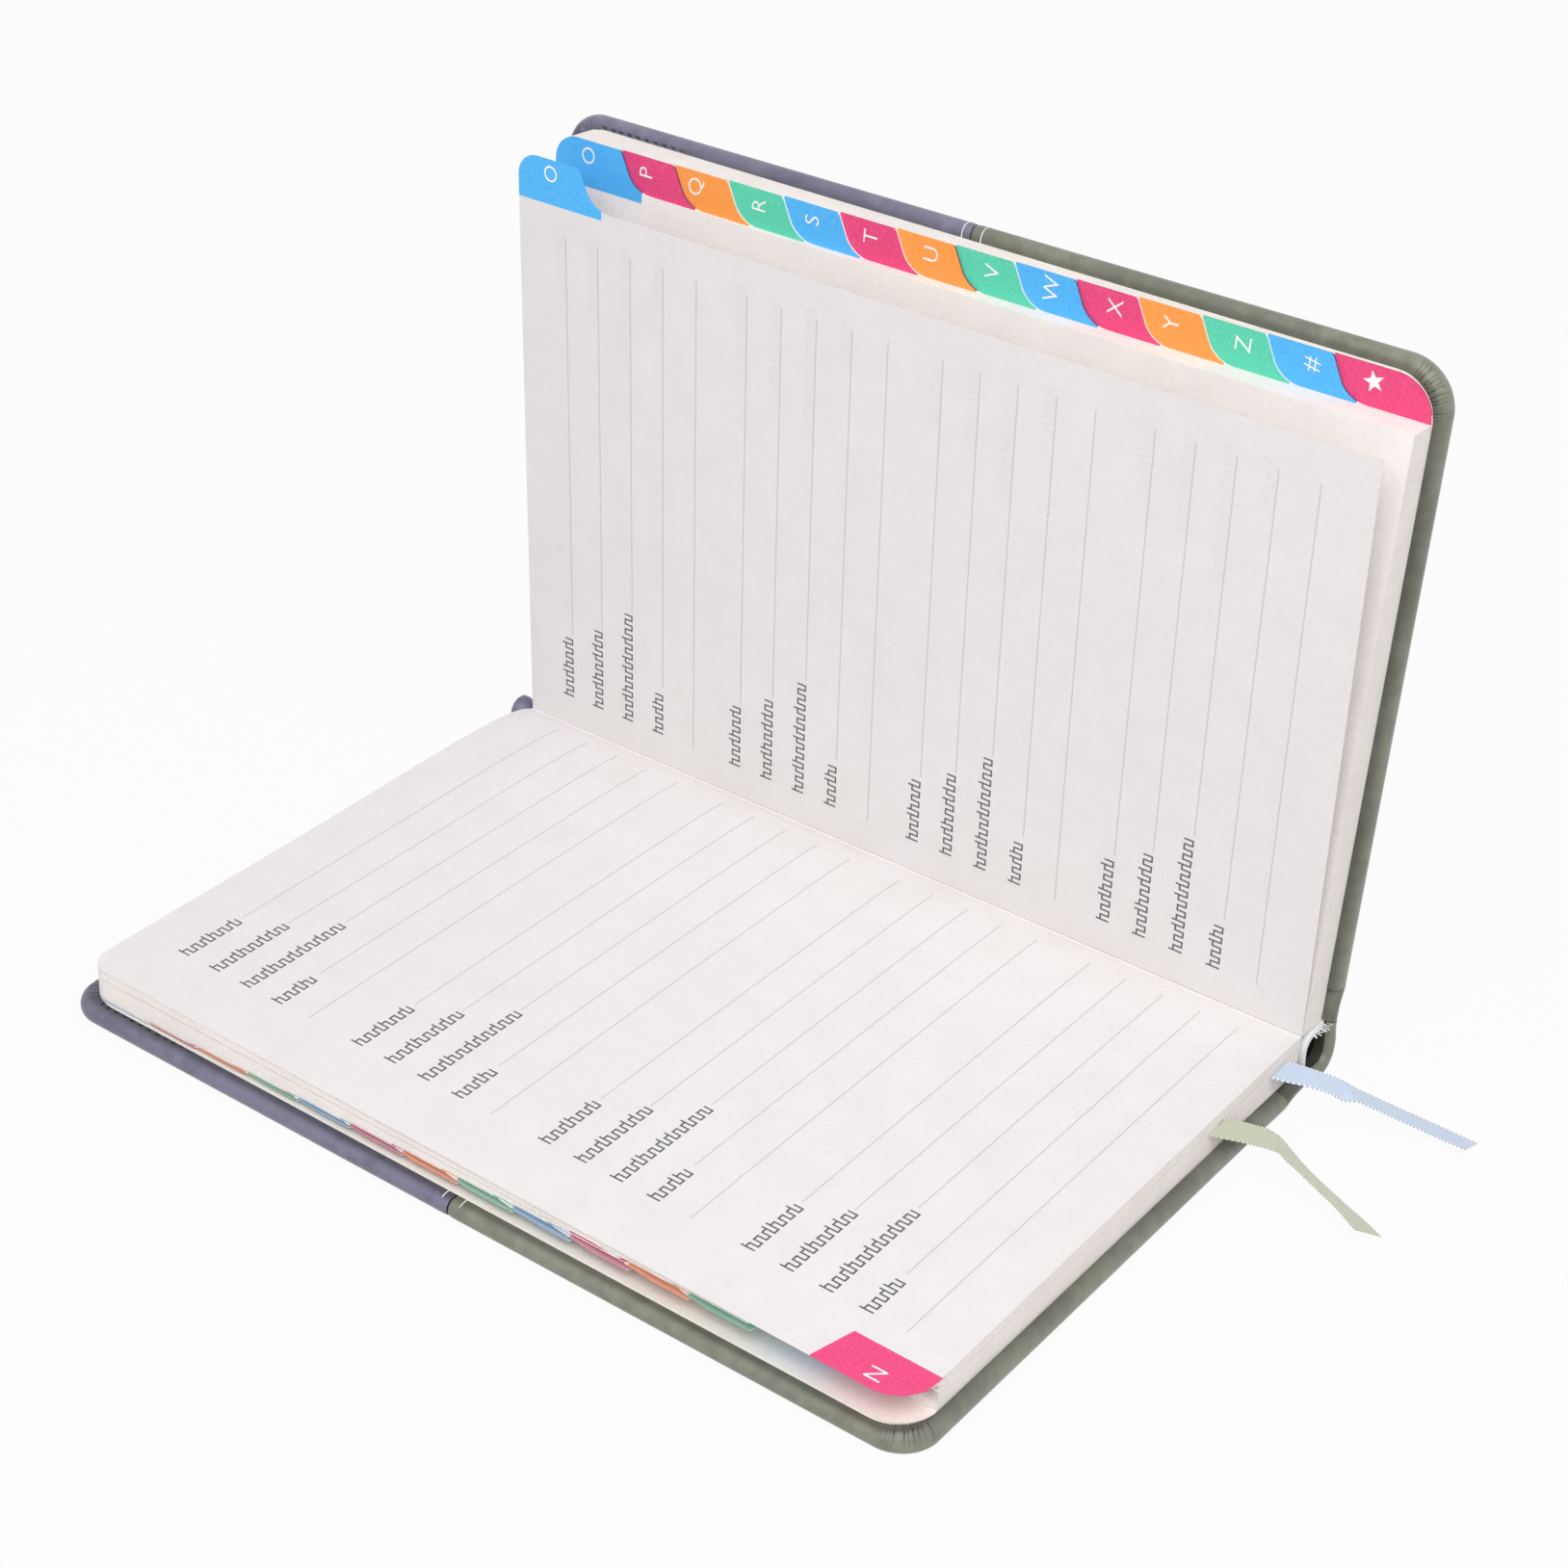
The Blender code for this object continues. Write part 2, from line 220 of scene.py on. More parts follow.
def press(piece):
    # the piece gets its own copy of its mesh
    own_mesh(piece)


def finishPiece(piece, *coats):
    piece.data.materials.clear()
    for coat in coats:
        piece.data.materials.append(coat)
    return piece


def standFor(piece, node, body):
    # the piece shows in place of a CAD node and moves with its body
    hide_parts(node)
    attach(piece, body)


# camera at the photograph's viewpoint

cameraPlan = {
    "place": gutter + Vector((-490.97, -309.68, 361.37)) * mm,
    "forward": Vector((0.7072176, 0.4978073, -0.5020270)),
    "roll": math.radians(3.247),
    "sensor": 36,
    "lens": 36 * 3176.26 / 1628,
    "middle": (790.87, 785.65),        # where the lens axis meets the 1628 px frame
    "frame": 1628,
}


def makeCamera(plan):
    deselect()
    bpy.ops.object.camera_add(location=plan["place"])
    camera = bpy.context.object
    level = plan["forward"].to_track_quat("-Z", "Y")
    camera.rotation_euler = (level @ Quaternion((0, 0, 1), plan["roll"])).to_euler()
    camera.data.sensor_width = plan["sensor"]
    camera.data.lens = plan["lens"]
    half = plan["frame"] / 2
    camera.data.shift_x = (half - plan["middle"][0]) / plan["frame"]
    camera.data.shift_y = (plan["middle"][1] - half) / plan["frame"]
    camera.data.clip_start = 0.01
    bpy.context.scene.camera = camera


makeCamera(cameraPlan)
print("camera set")


# materials

def addNode(tree, kind, inputs=None, stops=(), out=0, **settings):
    # a node with its settings, links and colour stops; gives the output that the next node takes
    node = tree.nodes.new(kind)
    for key, value in settings.items():
        setattr(node, key, value)
    for key, value in (inputs or {}).items():
        if isinstance(value, bpy.types.NodeSocket):
            tree.links.new(value, node.inputs[key])
        else:
            node.inputs[key].default_value = value
    for index, (position, colour) in enumerate(stops):
        row = node.color_ramp.elements
        stop = row[index] if index < 2 else row.new(position)
        stop.position = position
        stop.color = hexLinear(colour)
    return node.outputs[out] if node.outputs else None


def startMaterial(name, roughness, ior, specular, follow="Object"):
    made = bpy.data.materials.new(name)
    made.use_nodes = True
    tree = made.node_tree
    shader = tree.nodes["Principled BSDF"]
    settings = {"Roughness": roughness, "IOR": ior, "Specular IOR Level": specular}
    for key, value in settings.items():
        shader.inputs[key].default_value = value
    return made, tree, shader, addNode(tree, "ShaderNodeTexCoord", out=follow)


def endMaterial(tree, shader, colour, height, strength, deep):
    # the colour and the relief reach the shader
    tree.links.new(colour, shader.inputs["Base Color"])
    relief = addNode(tree, "ShaderNodeBump", {"Height": height, "Strength": strength, "Distance": deep})
    tree.links.new(relief, shader.inputs["Normal"])


def paperMaterial(name, pale, shade):
    # uncoated offset paper: clouds about 9 mm across and felt-side fibres of 0.9 mm give a soft mottle and a tooth
    made, tree, shader, spot = startMaterial(name, 0.86, 1.5, 0.25)
    cloud = addNode(tree, "ShaderNodeTexNoise", {"Vector": spot, "Scale": 1 / (9 * mm), "Detail": 3})
    fibre = addNode(tree, "ShaderNodeTexNoise", {"Vector": spot, "Scale": 1 / (0.9 * mm), "Detail": 4})
    both = addNode(tree, "ShaderNodeMath", {0: cloud, 1: fibre}, operation="MULTIPLY")
    tone = addNode(tree, "ShaderNodeValToRGB", {"Fac": both}, [(0.1, shade), (0.34, pale)])
    endMaterial(tree, shader, tone, fibre, 0.12, 0.04 * mm)
    return made


def inkMaterial(name, bright, deep, grain=0.55):
    # solid offset ink on uncoated tab stock: the paper's tooth leaves a fine speckle
    made, tree, shader, spot = startMaterial(name, 0.6, 1.48, 0.3)
    speck = addNode(tree, "ShaderNodeTexNoise", {"Vector": spot, "Scale": 1 / (grain * mm), "Detail": 5})
    tone = addNode(tree, "ShaderNodeValToRGB", {"Fac": speck}, [(0.34, deep), (0.66, bright)])
    endMaterial(tree, shader, tone, speck, 0.1, 0.03 * mm)
    return made


def leatherMaterial(name, lit, base, deep, paintedShade):
    # embossed polyurethane leather: pebbles about 0.5 mm across under a satin top coat, with painted shade, read from
    # a mesh attribute, in its folds and pits and beside the paper
    made, tree, shader, spot = startMaterial(name, 0.42, 1.5, 0.5)
    shader.inputs["Sheen Weight"].default_value = 0.3
    shader.inputs["Sheen Roughness"].default_value = 0.35
    pebble = addNode(tree, "ShaderNodeTexVoronoi", {"Vector": spot, "Scale": 1 / (0.55 * mm)}, feature="SMOOTH_F1")
    wrinkle = addNode(tree, "ShaderNodeTexNoise", {"Vector": spot, "Scale": 1 / (3.2 * mm), "Detail": 5})
    cloud = addNode(tree, "ShaderNodeTexNoise", {"Vector": spot, "Scale": 1 / (34 * mm), "Detail": 2})
    blend = addNode(tree, "ShaderNodeMath", {0: wrinkle, 1: 0.8, 2: cloud}, operation="MULTIPLY_ADD")
    tone = addNode(tree, "ShaderNodeValToRGB", {"Fac": blend}, [(0.5, deep), (1, lit), (0.8, base)])
    # painted shade: how dark each point is painted, towards the dark colour given
    paintedShadeShare = addNode(tree, "ShaderNodeAttribute", out="Fac", attribute_name="paintedShade")
    colour = addNode(tree, "ShaderNodeMixRGB", {"Fac": paintedShadeShare, "Color1": tone, "Color2": hexLinear(paintedShade)})
    wear = addNode(tree, "ShaderNodeMapRange", {"Value": wrinkle, "To Min": 0.36, "To Max": 0.5})
    tree.links.new(wear, shader.inputs["Roughness"])
    height = addNode(tree, "ShaderNodeMath", {0: wrinkle, 1: 0.8, 2: pebble}, operation="MULTIPLY_ADD")
    endMaterial(tree, shader, colour, height, 0.2, 0.08 * mm)
    return made


def satinMaterial(name, light, deep, loop, gap):
    # polyester satin ribbon: warp floats run along it, drawn 0.2 mm apart, and both edges are woven
    # in small picot loops, drawn 0.9 mm apart so that they show
    made, tree, shader, flat = startMaterial(name, 0.32, 1.5, 0.9, "UV")
    shader.inputs["Sheen Weight"].default_value = 0.25
    shader.inputs["Sheen Roughness"].default_value = 0.4
    weave = addNode(tree, "ShaderNodeMapping", {"Vector": flat, "Scale": (18, 150, 1)})
    warp = addNode(tree, "ShaderNodeTexWave", {"Vector": weave, "Scale": 0.5, "Distortion": 0.6}, out="Fac",
                   bands_direction="X")
    weft = addNode(tree, "ShaderNodeTexWave", {"Vector": weave, "Scale": 0.5, "Distortion": 0.3}, out="Fac",
                   bands_direction="Y")
    height = addNode(tree, "ShaderNodeMath", {0: weft, 1: 0.4, 2: warp}, operation="MULTIPLY_ADD")
    tone = addNode(tree, "ShaderNodeValToRGB", {"Fac": height}, [(0, deep), (1, light)])
    loops = addNode(tree, "ShaderNodeTexWave", {"Vector": flat, "Scale": 15.4}, out="Fac", bands_direction="Y")
    picot = addNode(tree, "ShaderNodeValToRGB", {"Fac": loops}, [(0.3, gap), (0.6, loop)])
    across = addNode(tree, "ShaderNodeSeparateXYZ", {"Vector": flat}, out="X")
    side = addNode(tree, "ShaderNodeMath", {0: across, 1: 0.5}, operation="SUBTRACT")
    side = addNode(tree, "ShaderNodeMath", {0: side}, operation="ABSOLUTE")
    edge = addNode(tree, "ShaderNodeMapRange", {"Value": side, "From Min": 0.43, "From Max": 0.46})
    colour = addNode(tree, "ShaderNodeMixRGB", {"Fac": edge, "Color1": tone, "Color2": picot})
    endMaterial(tree, shader, colour, height, 0.25, 0.05 * mm)
    return made


def clothMaterial(name, light, deep, pitch):
    # open plain weave: threads cross along and across, with dark gaps between them
    made, tree, shader, spot = startMaterial(name, 0.9, 1.5, 0.2)
    threads = {"Vector": spot, "Scale": 0.31 / pitch, "Distortion": 0.8}
    along = addNode(tree, "ShaderNodeTexWave", threads, out="Fac", bands_direction="Y")
    across = addNode(tree, "ShaderNodeTexWave", threads, out="Fac", bands_direction="DIAGONAL")
    height = addNode(tree, "ShaderNodeMath", {0: along, 1: across}, operation="MAXIMUM")
    tone = addNode(tree, "ShaderNodeValToRGB", {"Fac": height}, [(0.2, deep), (0.7, light)])
    endMaterial(tree, shader, tone, height, 0.4, 0.1 * mm)
    return made


def crumbMaterial(name, light, deep, size, roughness):
    # pressed pulp or foam: fine crumbs of two tones
    made, tree, shader, spot = startMaterial(name, roughness, 1.5, 0.2)
    crumb = addNode(tree, "ShaderNodeTexNoise", {"Vector": spot, "Scale": 1 / size, "Detail": 6, "Roughness": 0.7})
    tone = addNode(tree, "ShaderNodeValToRGB", {"Fac": crumb}, [(0.35, deep), (0.65, light)])
    endMaterial(tree, shader, tone, crumb, 0.3, 0.1 * mm)
    return made


finishes = {
    "leafPaper": paperMaterial("offsetLeafPaper", "e7e3e3", "e2dedd"),
    # the lifted O leaf is the same paper, made darker as painted shade
    "shadedLeafPaper": paperMaterial("offsetLeafPaperPaintedShade", "e4e0e0", "dfdbda"),
    # the sections are the same paper, made lighter and warmer as painted light for the shaded gaps between the leaves
    "litSectionPaper": paperMaterial("offsetSectionPaperPaintedLight", "faf4f0", "f3ece8"),
    "endPaper": paperMaterial("offsetEndPaper", "f4efe8", "eee8e0"),
    "blueInk": inkMaterial("blueTabInk", "5ebcf8", "4ab0f4"),
    "magentaInk": inkMaterial("magentaTabInk", "ee5387", "e3447a"),
    "orangeInk": inkMaterial("orangeTabInk", "ffa654", "fd9848"),
    "greenInk": inkMaterial("greenTabInk", "66d6b6", "55cdab"),
    # show-through of the tab print on the hanging leaves, darkened as painted shade, and a painted reflection of
    # colour bounced off the tabs
    "blueTint": paperMaterial("blueShowThroughPaperPaintedShade", "a6bccf", "9cb3c7"),
    "magentaTint": paperMaterial("magentaShowThroughPaperPaintedShade", "d19aa6", "c98f9c"),
    "orangeTint": paperMaterial("orangeShowThroughPaperPaintedShade", "e2a78e", "da9d84"),
    "greenTint": paperMaterial("greenShowThroughPaperPaintedShade", "9fc3b1", "95baa8"),
    # painted shade on the step cuts of some tabs, for the shadow between the leaves
    "cutEdgeShade": inkMaterial("cutEdgePaintedShade", "66506f", "4c3c58"),
    "whiteInk": inkMaterial("whiteLetterInk", "fbfaf9", "f2f1f0"),
    "labelInk": inkMaterial("greyLabelInk", "68696d", "56575b", 0.4),
    "ruleInk": inkMaterial("paleRuleInk", "c8c9c9", "bbbdbe", 0.4),
    "ghostInk": inkMaterial("showThroughInk", "e0dcdb", "dcd8d7", 0.4),
    "slate": leatherMaterial("slatePuLeather", "807f96", "717086", "656479", "24232c"),
    "olive": leatherMaterial("olivePuLeather", "828575", "737668", "65685a", "23251d"),
    # the leather's backing cloth, made dark as painted shade for the hollow of the spine
    "backingAndShade": crumbMaterial("leatherBackingPaintedShade", "46483f", "2f312a", 0.4 * mm, 0.95),
    "thread": clothMaterial("whitePolyThread", "f0efed", "d3d1cd", 0.25 * mm),
    "mull": clothMaterial("whiteMullCloth", "f7f7f6", "dfe0e2", 0.5 * mm),
    "blueSatin": satinMaterial("blueSatinRibbon", "ccd9ec", "b0c2dd", "fbfcfe", "93a5c4"),
    "greenSatin": satinMaterial("sageSatinRibbon", "c5c9b3", "acb195", "d8dcc9", "a0a58a"),
    "board": crumbMaterial("pressedGreyBoard", "a8a296", "8c867b", 0.6 * mm, 0.9),
    "foam": crumbMaterial("cutFoamPadding", "e0dccf", "cbc6b8", 0.5 * mm, 0.95),
}
tabInks = ["blueInk", "magentaInk", "orangeInk", "greenInk"]
tabTints = ["blueTint", "magentaTint", "orangeTint", "greenTint"]
print("materials made:", len(finishes))


# leaves and index sections

leafCut = {
    "setback": 0.06 * mm,      # from the gutter line
    "wide": 142 * mm,
    "half": 104 * mm,
    "headCorner": 5.4 * mm,
    "tailCorner": 8.6 * mm,
    "firstTab": 18 * mm,
    "lastTab": 21.7 * mm,
    "tabs": 14,
    "cutDeep": 8.2 * mm,       # how much narrower a leaf is past its own tab
    "cutSlant": 4.1 * mm,
    "cutHollow": 4.0 * mm,     # tangent length of the hollow curve at the foot of the cut
    "cutNose": 0.6 * mm,
    "printDeep": 10.2 * mm,
    "printSlant": 2.6 * mm,
    "printLong": 6.3 * mm,     # past the tab's end
    "leafThick": 0.13 * mm,
    "leafPitch": 0.155 * mm,
    "leavesShown": 3,          # in each section
    "firstTop": 0.52 * mm,     # sections above the ribbons
    "ribbonLayer": 4,
    "sectionTop": 0.84 * mm,
    "sectionPitch": 0.55 * mm,
    "bendAcross": [1, 2.2, 3.6, 5.4, 8, 11, 15, 20, 27, 36, 47, 60, 75, 92, 110, 128, 133.5, 137.5, 140],
    "bendStep": 6.5 * mm,      # along the spine
    "hangFrom": 131 * mm,      # the lying tabs hang down past this, by a share of the room under them
    "hangShare": 0.42,
    "hangMost": 1.8 * mm,
    "hangStart": 4 * mm,       # it starts this far before the tab
    "hangTabs": 12,
    "cutEdge": 0.3 * mm,       # the edge of the step shows its own tone up to here, painted shade on some tabs
}
tabPitch = (2 * leafCut["half"] - leafCut["firstTab"] - leafCut["lastTab"]) / (leafCut["tabs"] - 2)
tiny = 0.02 * mm


def tabEnd(tab, firstTab=leafCut["firstTab"]):
    # height on the fore edge where this tab's own cut starts
    return leafCut["half"] - firstTab - (tab - 1) * tabPitch


def near(a, b):
    return abs(a - b) < tiny


def layerTop(layer, side):
    above = side == front and layer < leafCut["ribbonLayer"]
    return leafCut["firstTop" if above else "sectionTop"] + layer * leafCut["sectionPitch"]


def addBends(piece, along=True):
    # rows of corners that let a lying sheet follow the swell
    selectOnly(piece)
    editMode()
    for reach in leafCut["bendAcross"]:
        sliceAt((gutter.x - reach * mm, 0, 0), (1, 0, 0))
    rows = int(leafCut["half"] / leafCut["bendStep"]) if along else -1
    for row in range(-rows, rows + 1):
        sliceAt((0, row * leafCut["bendStep"], 0), (0, 1, 0))
    objectMode()


def makeLeaf(name, tab, top, side, **own):
    cut = {**leafCut, **own}
    inner = gutter.x + side * cut["setback"]
    outer = gutter.x + side * cut["wide"]
    half = cut["half"]
    leaf = startPlane(name, min(inner, outer), max(inner, outer), -half, half, gutter.z - top)
    editMode()
    pick(leaf, "VERT", lambda co: near(co.x, outer) and co.y > 0)
    bpy.ops.mesh.bevel(offset=cut["headCorner"], affect="VERTICES", segments=9)
    if tab == cut["tabs"]:
        pick(leaf, "VERT", lambda co: near(co.x, outer) and near(co.y, -half))
        bpy.ops.mesh.bevel(offset=cut["tailCorner"], affect="VERTICES", segments=12)
    else:
        end = tabEnd(tab, cut["firstTab"])
        foreTop = half - cut["headCorner"]
        third = (foreTop + half) / 3
        pick(leaf, "EDGE", lambda a, b: near(a.x, outer) and near(b.x, outer) and abs(a.y - b.y) > half)
        bpy.ops.mesh.subdivide(number_cuts=2)
        narrow = -side * cut["cutDeep"]
        foot = end - cut["cutSlant"]
        for y, newY, shift in ((-half, -half, narrow), (third - half, foot, narrow), (foreTop - third, end, 0)):
            pick(leaf, "VERT", lambda co: near(co.x, outer) and near(co.y, y))
            bpy.ops.transform.translate(value=(shift, newY - y, 0))
        for x, y, size, steps in ((outer + narrow, foot, cut["cutHollow"], 8), (outer, end, cut["cutNose"], 4)):
            pick(leaf, "VERT", lambda co: near(co.x, x) and near(co.y, y))
            bpy.ops.mesh.bevel(offset=size, affect="VERTICES", segments=steps)
    thicken(-cut["leafThick"])
    objectMode()
    return leaf


def printTab(leaf, tab, side, paper="leafPaper", edge="leafPaper", **own):
    # ink on the tab, down to a straight line behind it; the stepped cut shows its own edge
    cut = {**leafCut, **own}
    behind = cut["wide"] - cut["printDeep"]
    start = tabEnd(tab - 1) if tab > 1 else cut["half"] + cut["printSlant"]
    end = tabEnd(tab, cut["firstTab"]) - cut["printLong"] if tab < cut["tabs"] else -cut["half"] - tiny
    slope = cut["printSlant"] / cut["printDeep"]
    editMode()
    sliceAt((gutter.x + side * behind, 0, 0), (1, 0, 0))
    if tab > 1:
        sliceAt((gutter.x + side * cut["wide"], start, 0), (-side * slope, 1, 0))
    if tab < cut["tabs"]:
        sliceAt((0, end, 0), (0, 1, 0))
    objectMode()
    finishPiece(leaf, finishes[paper], finishes[tabInks[(tab - 1) % 4]], finishes[edge])
    for face in leaf.data.polygons:
        reach = side * (face.center.x - gutter.x)
        line = start - (cut["wide"] - reach) * slope
        if reach > behind and end < face.center.y < line + tiny:
            upright = abs(face.normal.z) < 0.5
            ownCut = tabEnd(tab, cut["firstTab"]) + cut["cutEdge"]
            onCut = tab < cut["tabs"] and upright and face.center.y < ownCut
            atTail = upright and face.normal.y < -0.95 and tab == cut["tabs"]
            face.material_index = 0 if atTail else 2 if onCut else 1


frontNames = list("ABCDEFGHIJKLMN")
shadedCuts = ["O", "P", "U", "W", "number"]      # tabs whose step cut is painted dark, as painted shade between the leaves
backNames = list("OPQRSTUVWXYZ") + ["number", "star"]


def ease(share):
    share = max(0.0, min(1.0, share))
    return share * share * (3 - 2 * share)


def hangTab(section, tab, layer):
    # nothing carries a lying tab from below, so its lowest leaf hangs down and shows its tinted side: show-through of
    # the print, darkened with painted shade, and a painted reflection of colour bounced off the tabs
    cut = leafCut
    start = tabEnd(tab - 1) if tab > 1 else cut["half"]
    end = tabEnd(tab) if tab < cut["tabs"] else -cut["half"]
    top = layerTop(layer, front)
    lowest = top + (cut["leavesShown"] - 1.08) * cut["leafPitch"]
    drop = min(cut["hangMost"], cut["hangShare"] * max(0.0, book["sagDepth"] - top - cut["sectionPitch"]))
    section.data.materials.append(finishes[tabTints[(tab - 1) % 4]])
    for face in section.data.polygons:
        if face.material_index == 1:
            upright = abs(face.normal.z) < 0.5
            face.material_index = 3 if gutter.z - face.center.z > lowest else 2 if upright else 1
    for v in section.data.vertices:
        reach = gutter.x - v.co.x
        if gutter.z - v.co.z > lowest and reach > cut["hangFrom"]:
            out = (reach - cut["hangFrom"]) / (cut["wide"] - cut["hangFrom"])
            along = ease((start + cut["hangStart"] - v.co.y) / (0.5 * (start - end)))
            v.co.z -= drop * out ** 1.5 * along
    section.data.update()


def makeSection(letter, tab, layer, side):
    section = makeLeaf("leaves_" + letter, tab, layerTop(layer, side), side)
    useModifier(section, "ARRAY", count=leafCut["leavesShown"], use_relative_offset=False,
                use_constant_offset=True, constant_offset_displace=(0, 0, -leafCut["leafPitch"]))
    printTab(section, tab, side, "litSectionPaper", "cutEdgeShade" if letter in shadedCuts else "litSectionPaper")
    if side == front:
        addBends(section)
        if tab <= leafCut["hangTabs"]:
            hangTab(section, tab, layer)
        settle(section)
    else:
        standUp(section)
    smooth(section, 40)
    standFor(section, "section_" + letter, "front_block" if side == front else "back_block")
    if side == front:
        press(section)


for index, letter in enumerate(frontNames):
    makeSection(letter, index + 1, leafCut["tabs"] - 1 - index, front)
for index, letter in enumerate(backNames):
    makeSection(letter, index + 1, index, back)
print("index sections made")

openLeaf = {
    "top": 0.2 * mm,
    "ownO": {"wide": 141.45 * mm, "firstTab": 16.8 * mm, "cutDeep": 8.6 * mm, "printDeep": 10.3 * mm},
    "askewN": 1.1 * mm,        # the N leaf stands out further at its tail
    "askewO": 0.35 * mm,       # the O leaf is sewn in slightly low at its head
}


def skew(leaf, shift, end):
    # the fore edge moves over, all of it at one end and nothing at the other
    for v in leaf.data.vertices:
        share = 0.5 + end * v.co.y / (2 * leafCut["half"])
        v.co.x -= shift * share * abs(v.co.x - gutter.x) / leafCut["wide"]


leafN = makeLeaf("turning_leaf_N", leafCut["tabs"], openLeaf["top"], front)
printTab(leafN, leafCut["tabs"], front)
addBends(leafN)
skew(leafN, openLeaf["askewN"], -1)
settle(leafN)
smooth(leafN, 40)
standFor(leafN, "leaf_N", "turning_leaf")
press(leafN)

leafO = makeLeaf("lifted_leaf_O", 1, openLeaf["top"], back, **openLeaf["ownO"])
printTab(leafO, 1, back, "shadedLeafPaper", "blueInk", **openLeaf["ownO"])
skew(leafO, openLeaf["askewO"], 1)
standUp(leafO, book["backTurn"] + book["leafLift"])
standFor(leafO, "leaf_O", "lifted_leaf")

# one heavier blank leaf behind each half, and the endpaper pasted to the cover
flyleafPlan = {"top": 8.54 * mm, "thick": 0.25 * mm}
pastedown = {"start": 4.2 * mm, "reach": 142.2 * mm, "tail": 103.7 * mm, "head": 105.5 * mm,
             "corner": 8.6 * mm, "top": 8.91 * mm, "thick": 0.2 * mm}
for name, side in (("front", front), ("back", back)):
    flyleaf = makeLeaf(name + "_blank_leaf", leafCut["tabs"], flyleafPlan["top"], side,
                       leafThick=flyleafPlan["thick"])
    outer = gutter.x + side * pastedown["reach"]
    ends = sorted((gutter.x + side * pastedown["start"], outer))
    sheet = startPlane(name + "_pasted_sheet", *ends, -pastedown["tail"], pastedown["head"],
                       gutter.z - pastedown["top"])
    editMode()
    pick(sheet, "VERT", lambda co: near(co.x, outer))
    bpy.ops.mesh.bevel(offset=pastedown["corner"], affect="VERTICES", segments=9)
    thicken(-pastedown["thick"])
    objectMode()
    for paper, node, body in ((flyleaf, "_flyleaf", "_block"), (sheet, "_pastedown", "_cover")):
        finishPiece(paper, finishes["endPaper"])
        if side == back:
            standUp(paper)
        smooth(paper, 40)
        standFor(paper, name + node, name + body)

# sewn fold of white paper at the gutter, between the open leaves
foldPlan = {"radius": 0.3 * mm, "place": Vector((0.05, 0, -0.24)) * mm, "half": 103.9 * mm}
deselect()
bpy.ops.mesh.primitive_cylinder_add(vertices=16, radius=foldPlan["radius"], depth=2 * foldPlan["half"],
                                    rotation=(math.pi / 2, 0, 0), location=gutter + foldPlan["place"])
bpy.ops.object.transform_apply(location=True, rotation=True, scale=True)
fold = bpy.context.object
fold.name = "gutter_fold"
smooth(fold)
finishPiece(fold, finishes["leafPaper"])
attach(fold, "front_block")
print("open leaves made")


# page print: ruled lines, with a row of plain strokes where each line's label stands

pagePrint = {
    "firstLine": 91 * mm,
    "groupPitch": 49.2 * mm,
    "groups": 4,
    "linePitch": 8.95 * mm,
    "lineWide": 0.24 * mm,
    "lineLong": {"left": 121 * mm, "right": 116.5 * mm},
    "labels": [16 * mm, 20.5 * mm, 28.5 * mm, 11.5 * mm],
    "labelGap": 1.2 * mm,
    "strokeWide": 0.4 * mm,
    "strokeStep": 1.28 * mm,
    "low": 2.35 * mm,          # height of a plain stroke, and of the taller ones
    "tall": 3.2 * mm,
    "tallEvery": [0, 5, 6, 11, 13, 17],
    "drop": {front: 1.5 * mm, back: 0.1 * mm},      # foot of the strokes below the line
    "ink": 0.012 * mm,
    "lift": 0.015 * mm,        # clear of the leaf's own facets
    # where the labels stand, from the gutter, on the open page and on the back of its leaf
    "startLeft": {1: -127 * mm, -1: -8.5 * mm},
    "startRight": {1: 7.9 * mm, -1: 127 * mm},
    "startThrough": 126 * mm,
    "throughRise": 0.2 * mm,
}


def addBar(lowX, highX, lowY, highY):
    # in edit mode: one flat bar more in the same mesh
    middle = ((lowX + highX) / 2, (lowY + highY) / 2, 0)
    bpy.ops.mesh.select_all(action="DESELECT")
    bpy.ops.mesh.primitive_plane_add(size=1, location=middle)
    bpy.ops.transform.resize(value=(highX - lowX, highY - lowY, 1), center_override=middle)


def repeatGroups(piece):
    plan = pagePrint
    useModifier(piece, "ARRAY", count=plan["groups"], use_relative_offset=False, use_constant_offset=True,
                constant_offset_displace=(0, -plan["groupPitch"], 0))
    editMode()
    thicken(plan["ink"])
    objectMode()
    return piece


def makeRules(name, lineLong):
    plan = pagePrint
    half = plan["lineWide"] / 2
    last = plan["firstLine"] - len(plan["labels"]) * plan["linePitch"]
    rules = startPlane(name, 0, lineLong, last - half, last + half, 0)
    editMode()
    for row, labelLong in enumerate(plan["labels"]):
        y = plan["firstLine"] - row * plan["linePitch"]
        addBar(labelLong + plan["labelGap"], lineLong, y - half, y + half)
    objectMode()
    return finishPiece(repeatGroups(rules), finishes["ruleInk"])


def makeLabels(name):
    plan = pagePrint
    wide = plan["strokeWide"]
    labels = None
    for row, labelLong in enumerate(plan["labels"]):
        foot = plan["firstLine"] - row * plan["linePitch"]
        count = int(labelLong / plan["strokeStep"])
        for stroke in range(count + 1):
            x = stroke * plan["strokeStep"]
            high = plan["tall"] if stroke in plan["tallEvery"] else plan["low"]
            if labels is None:
                labels = startPlane(name, x, x + wide, foot, foot + high, 0)
                editMode()
            else:
                addBar(x, x + wide, foot, foot + high)
            if stroke < count:
                level = foot if stroke % 2 else foot + plan["low"] - wide
                addBar(x + wide, x + plan["strokeStep"], level, level + wide)
    objectMode()
    return finishPiece(repeatGroups(labels), finishes["labelInk"])


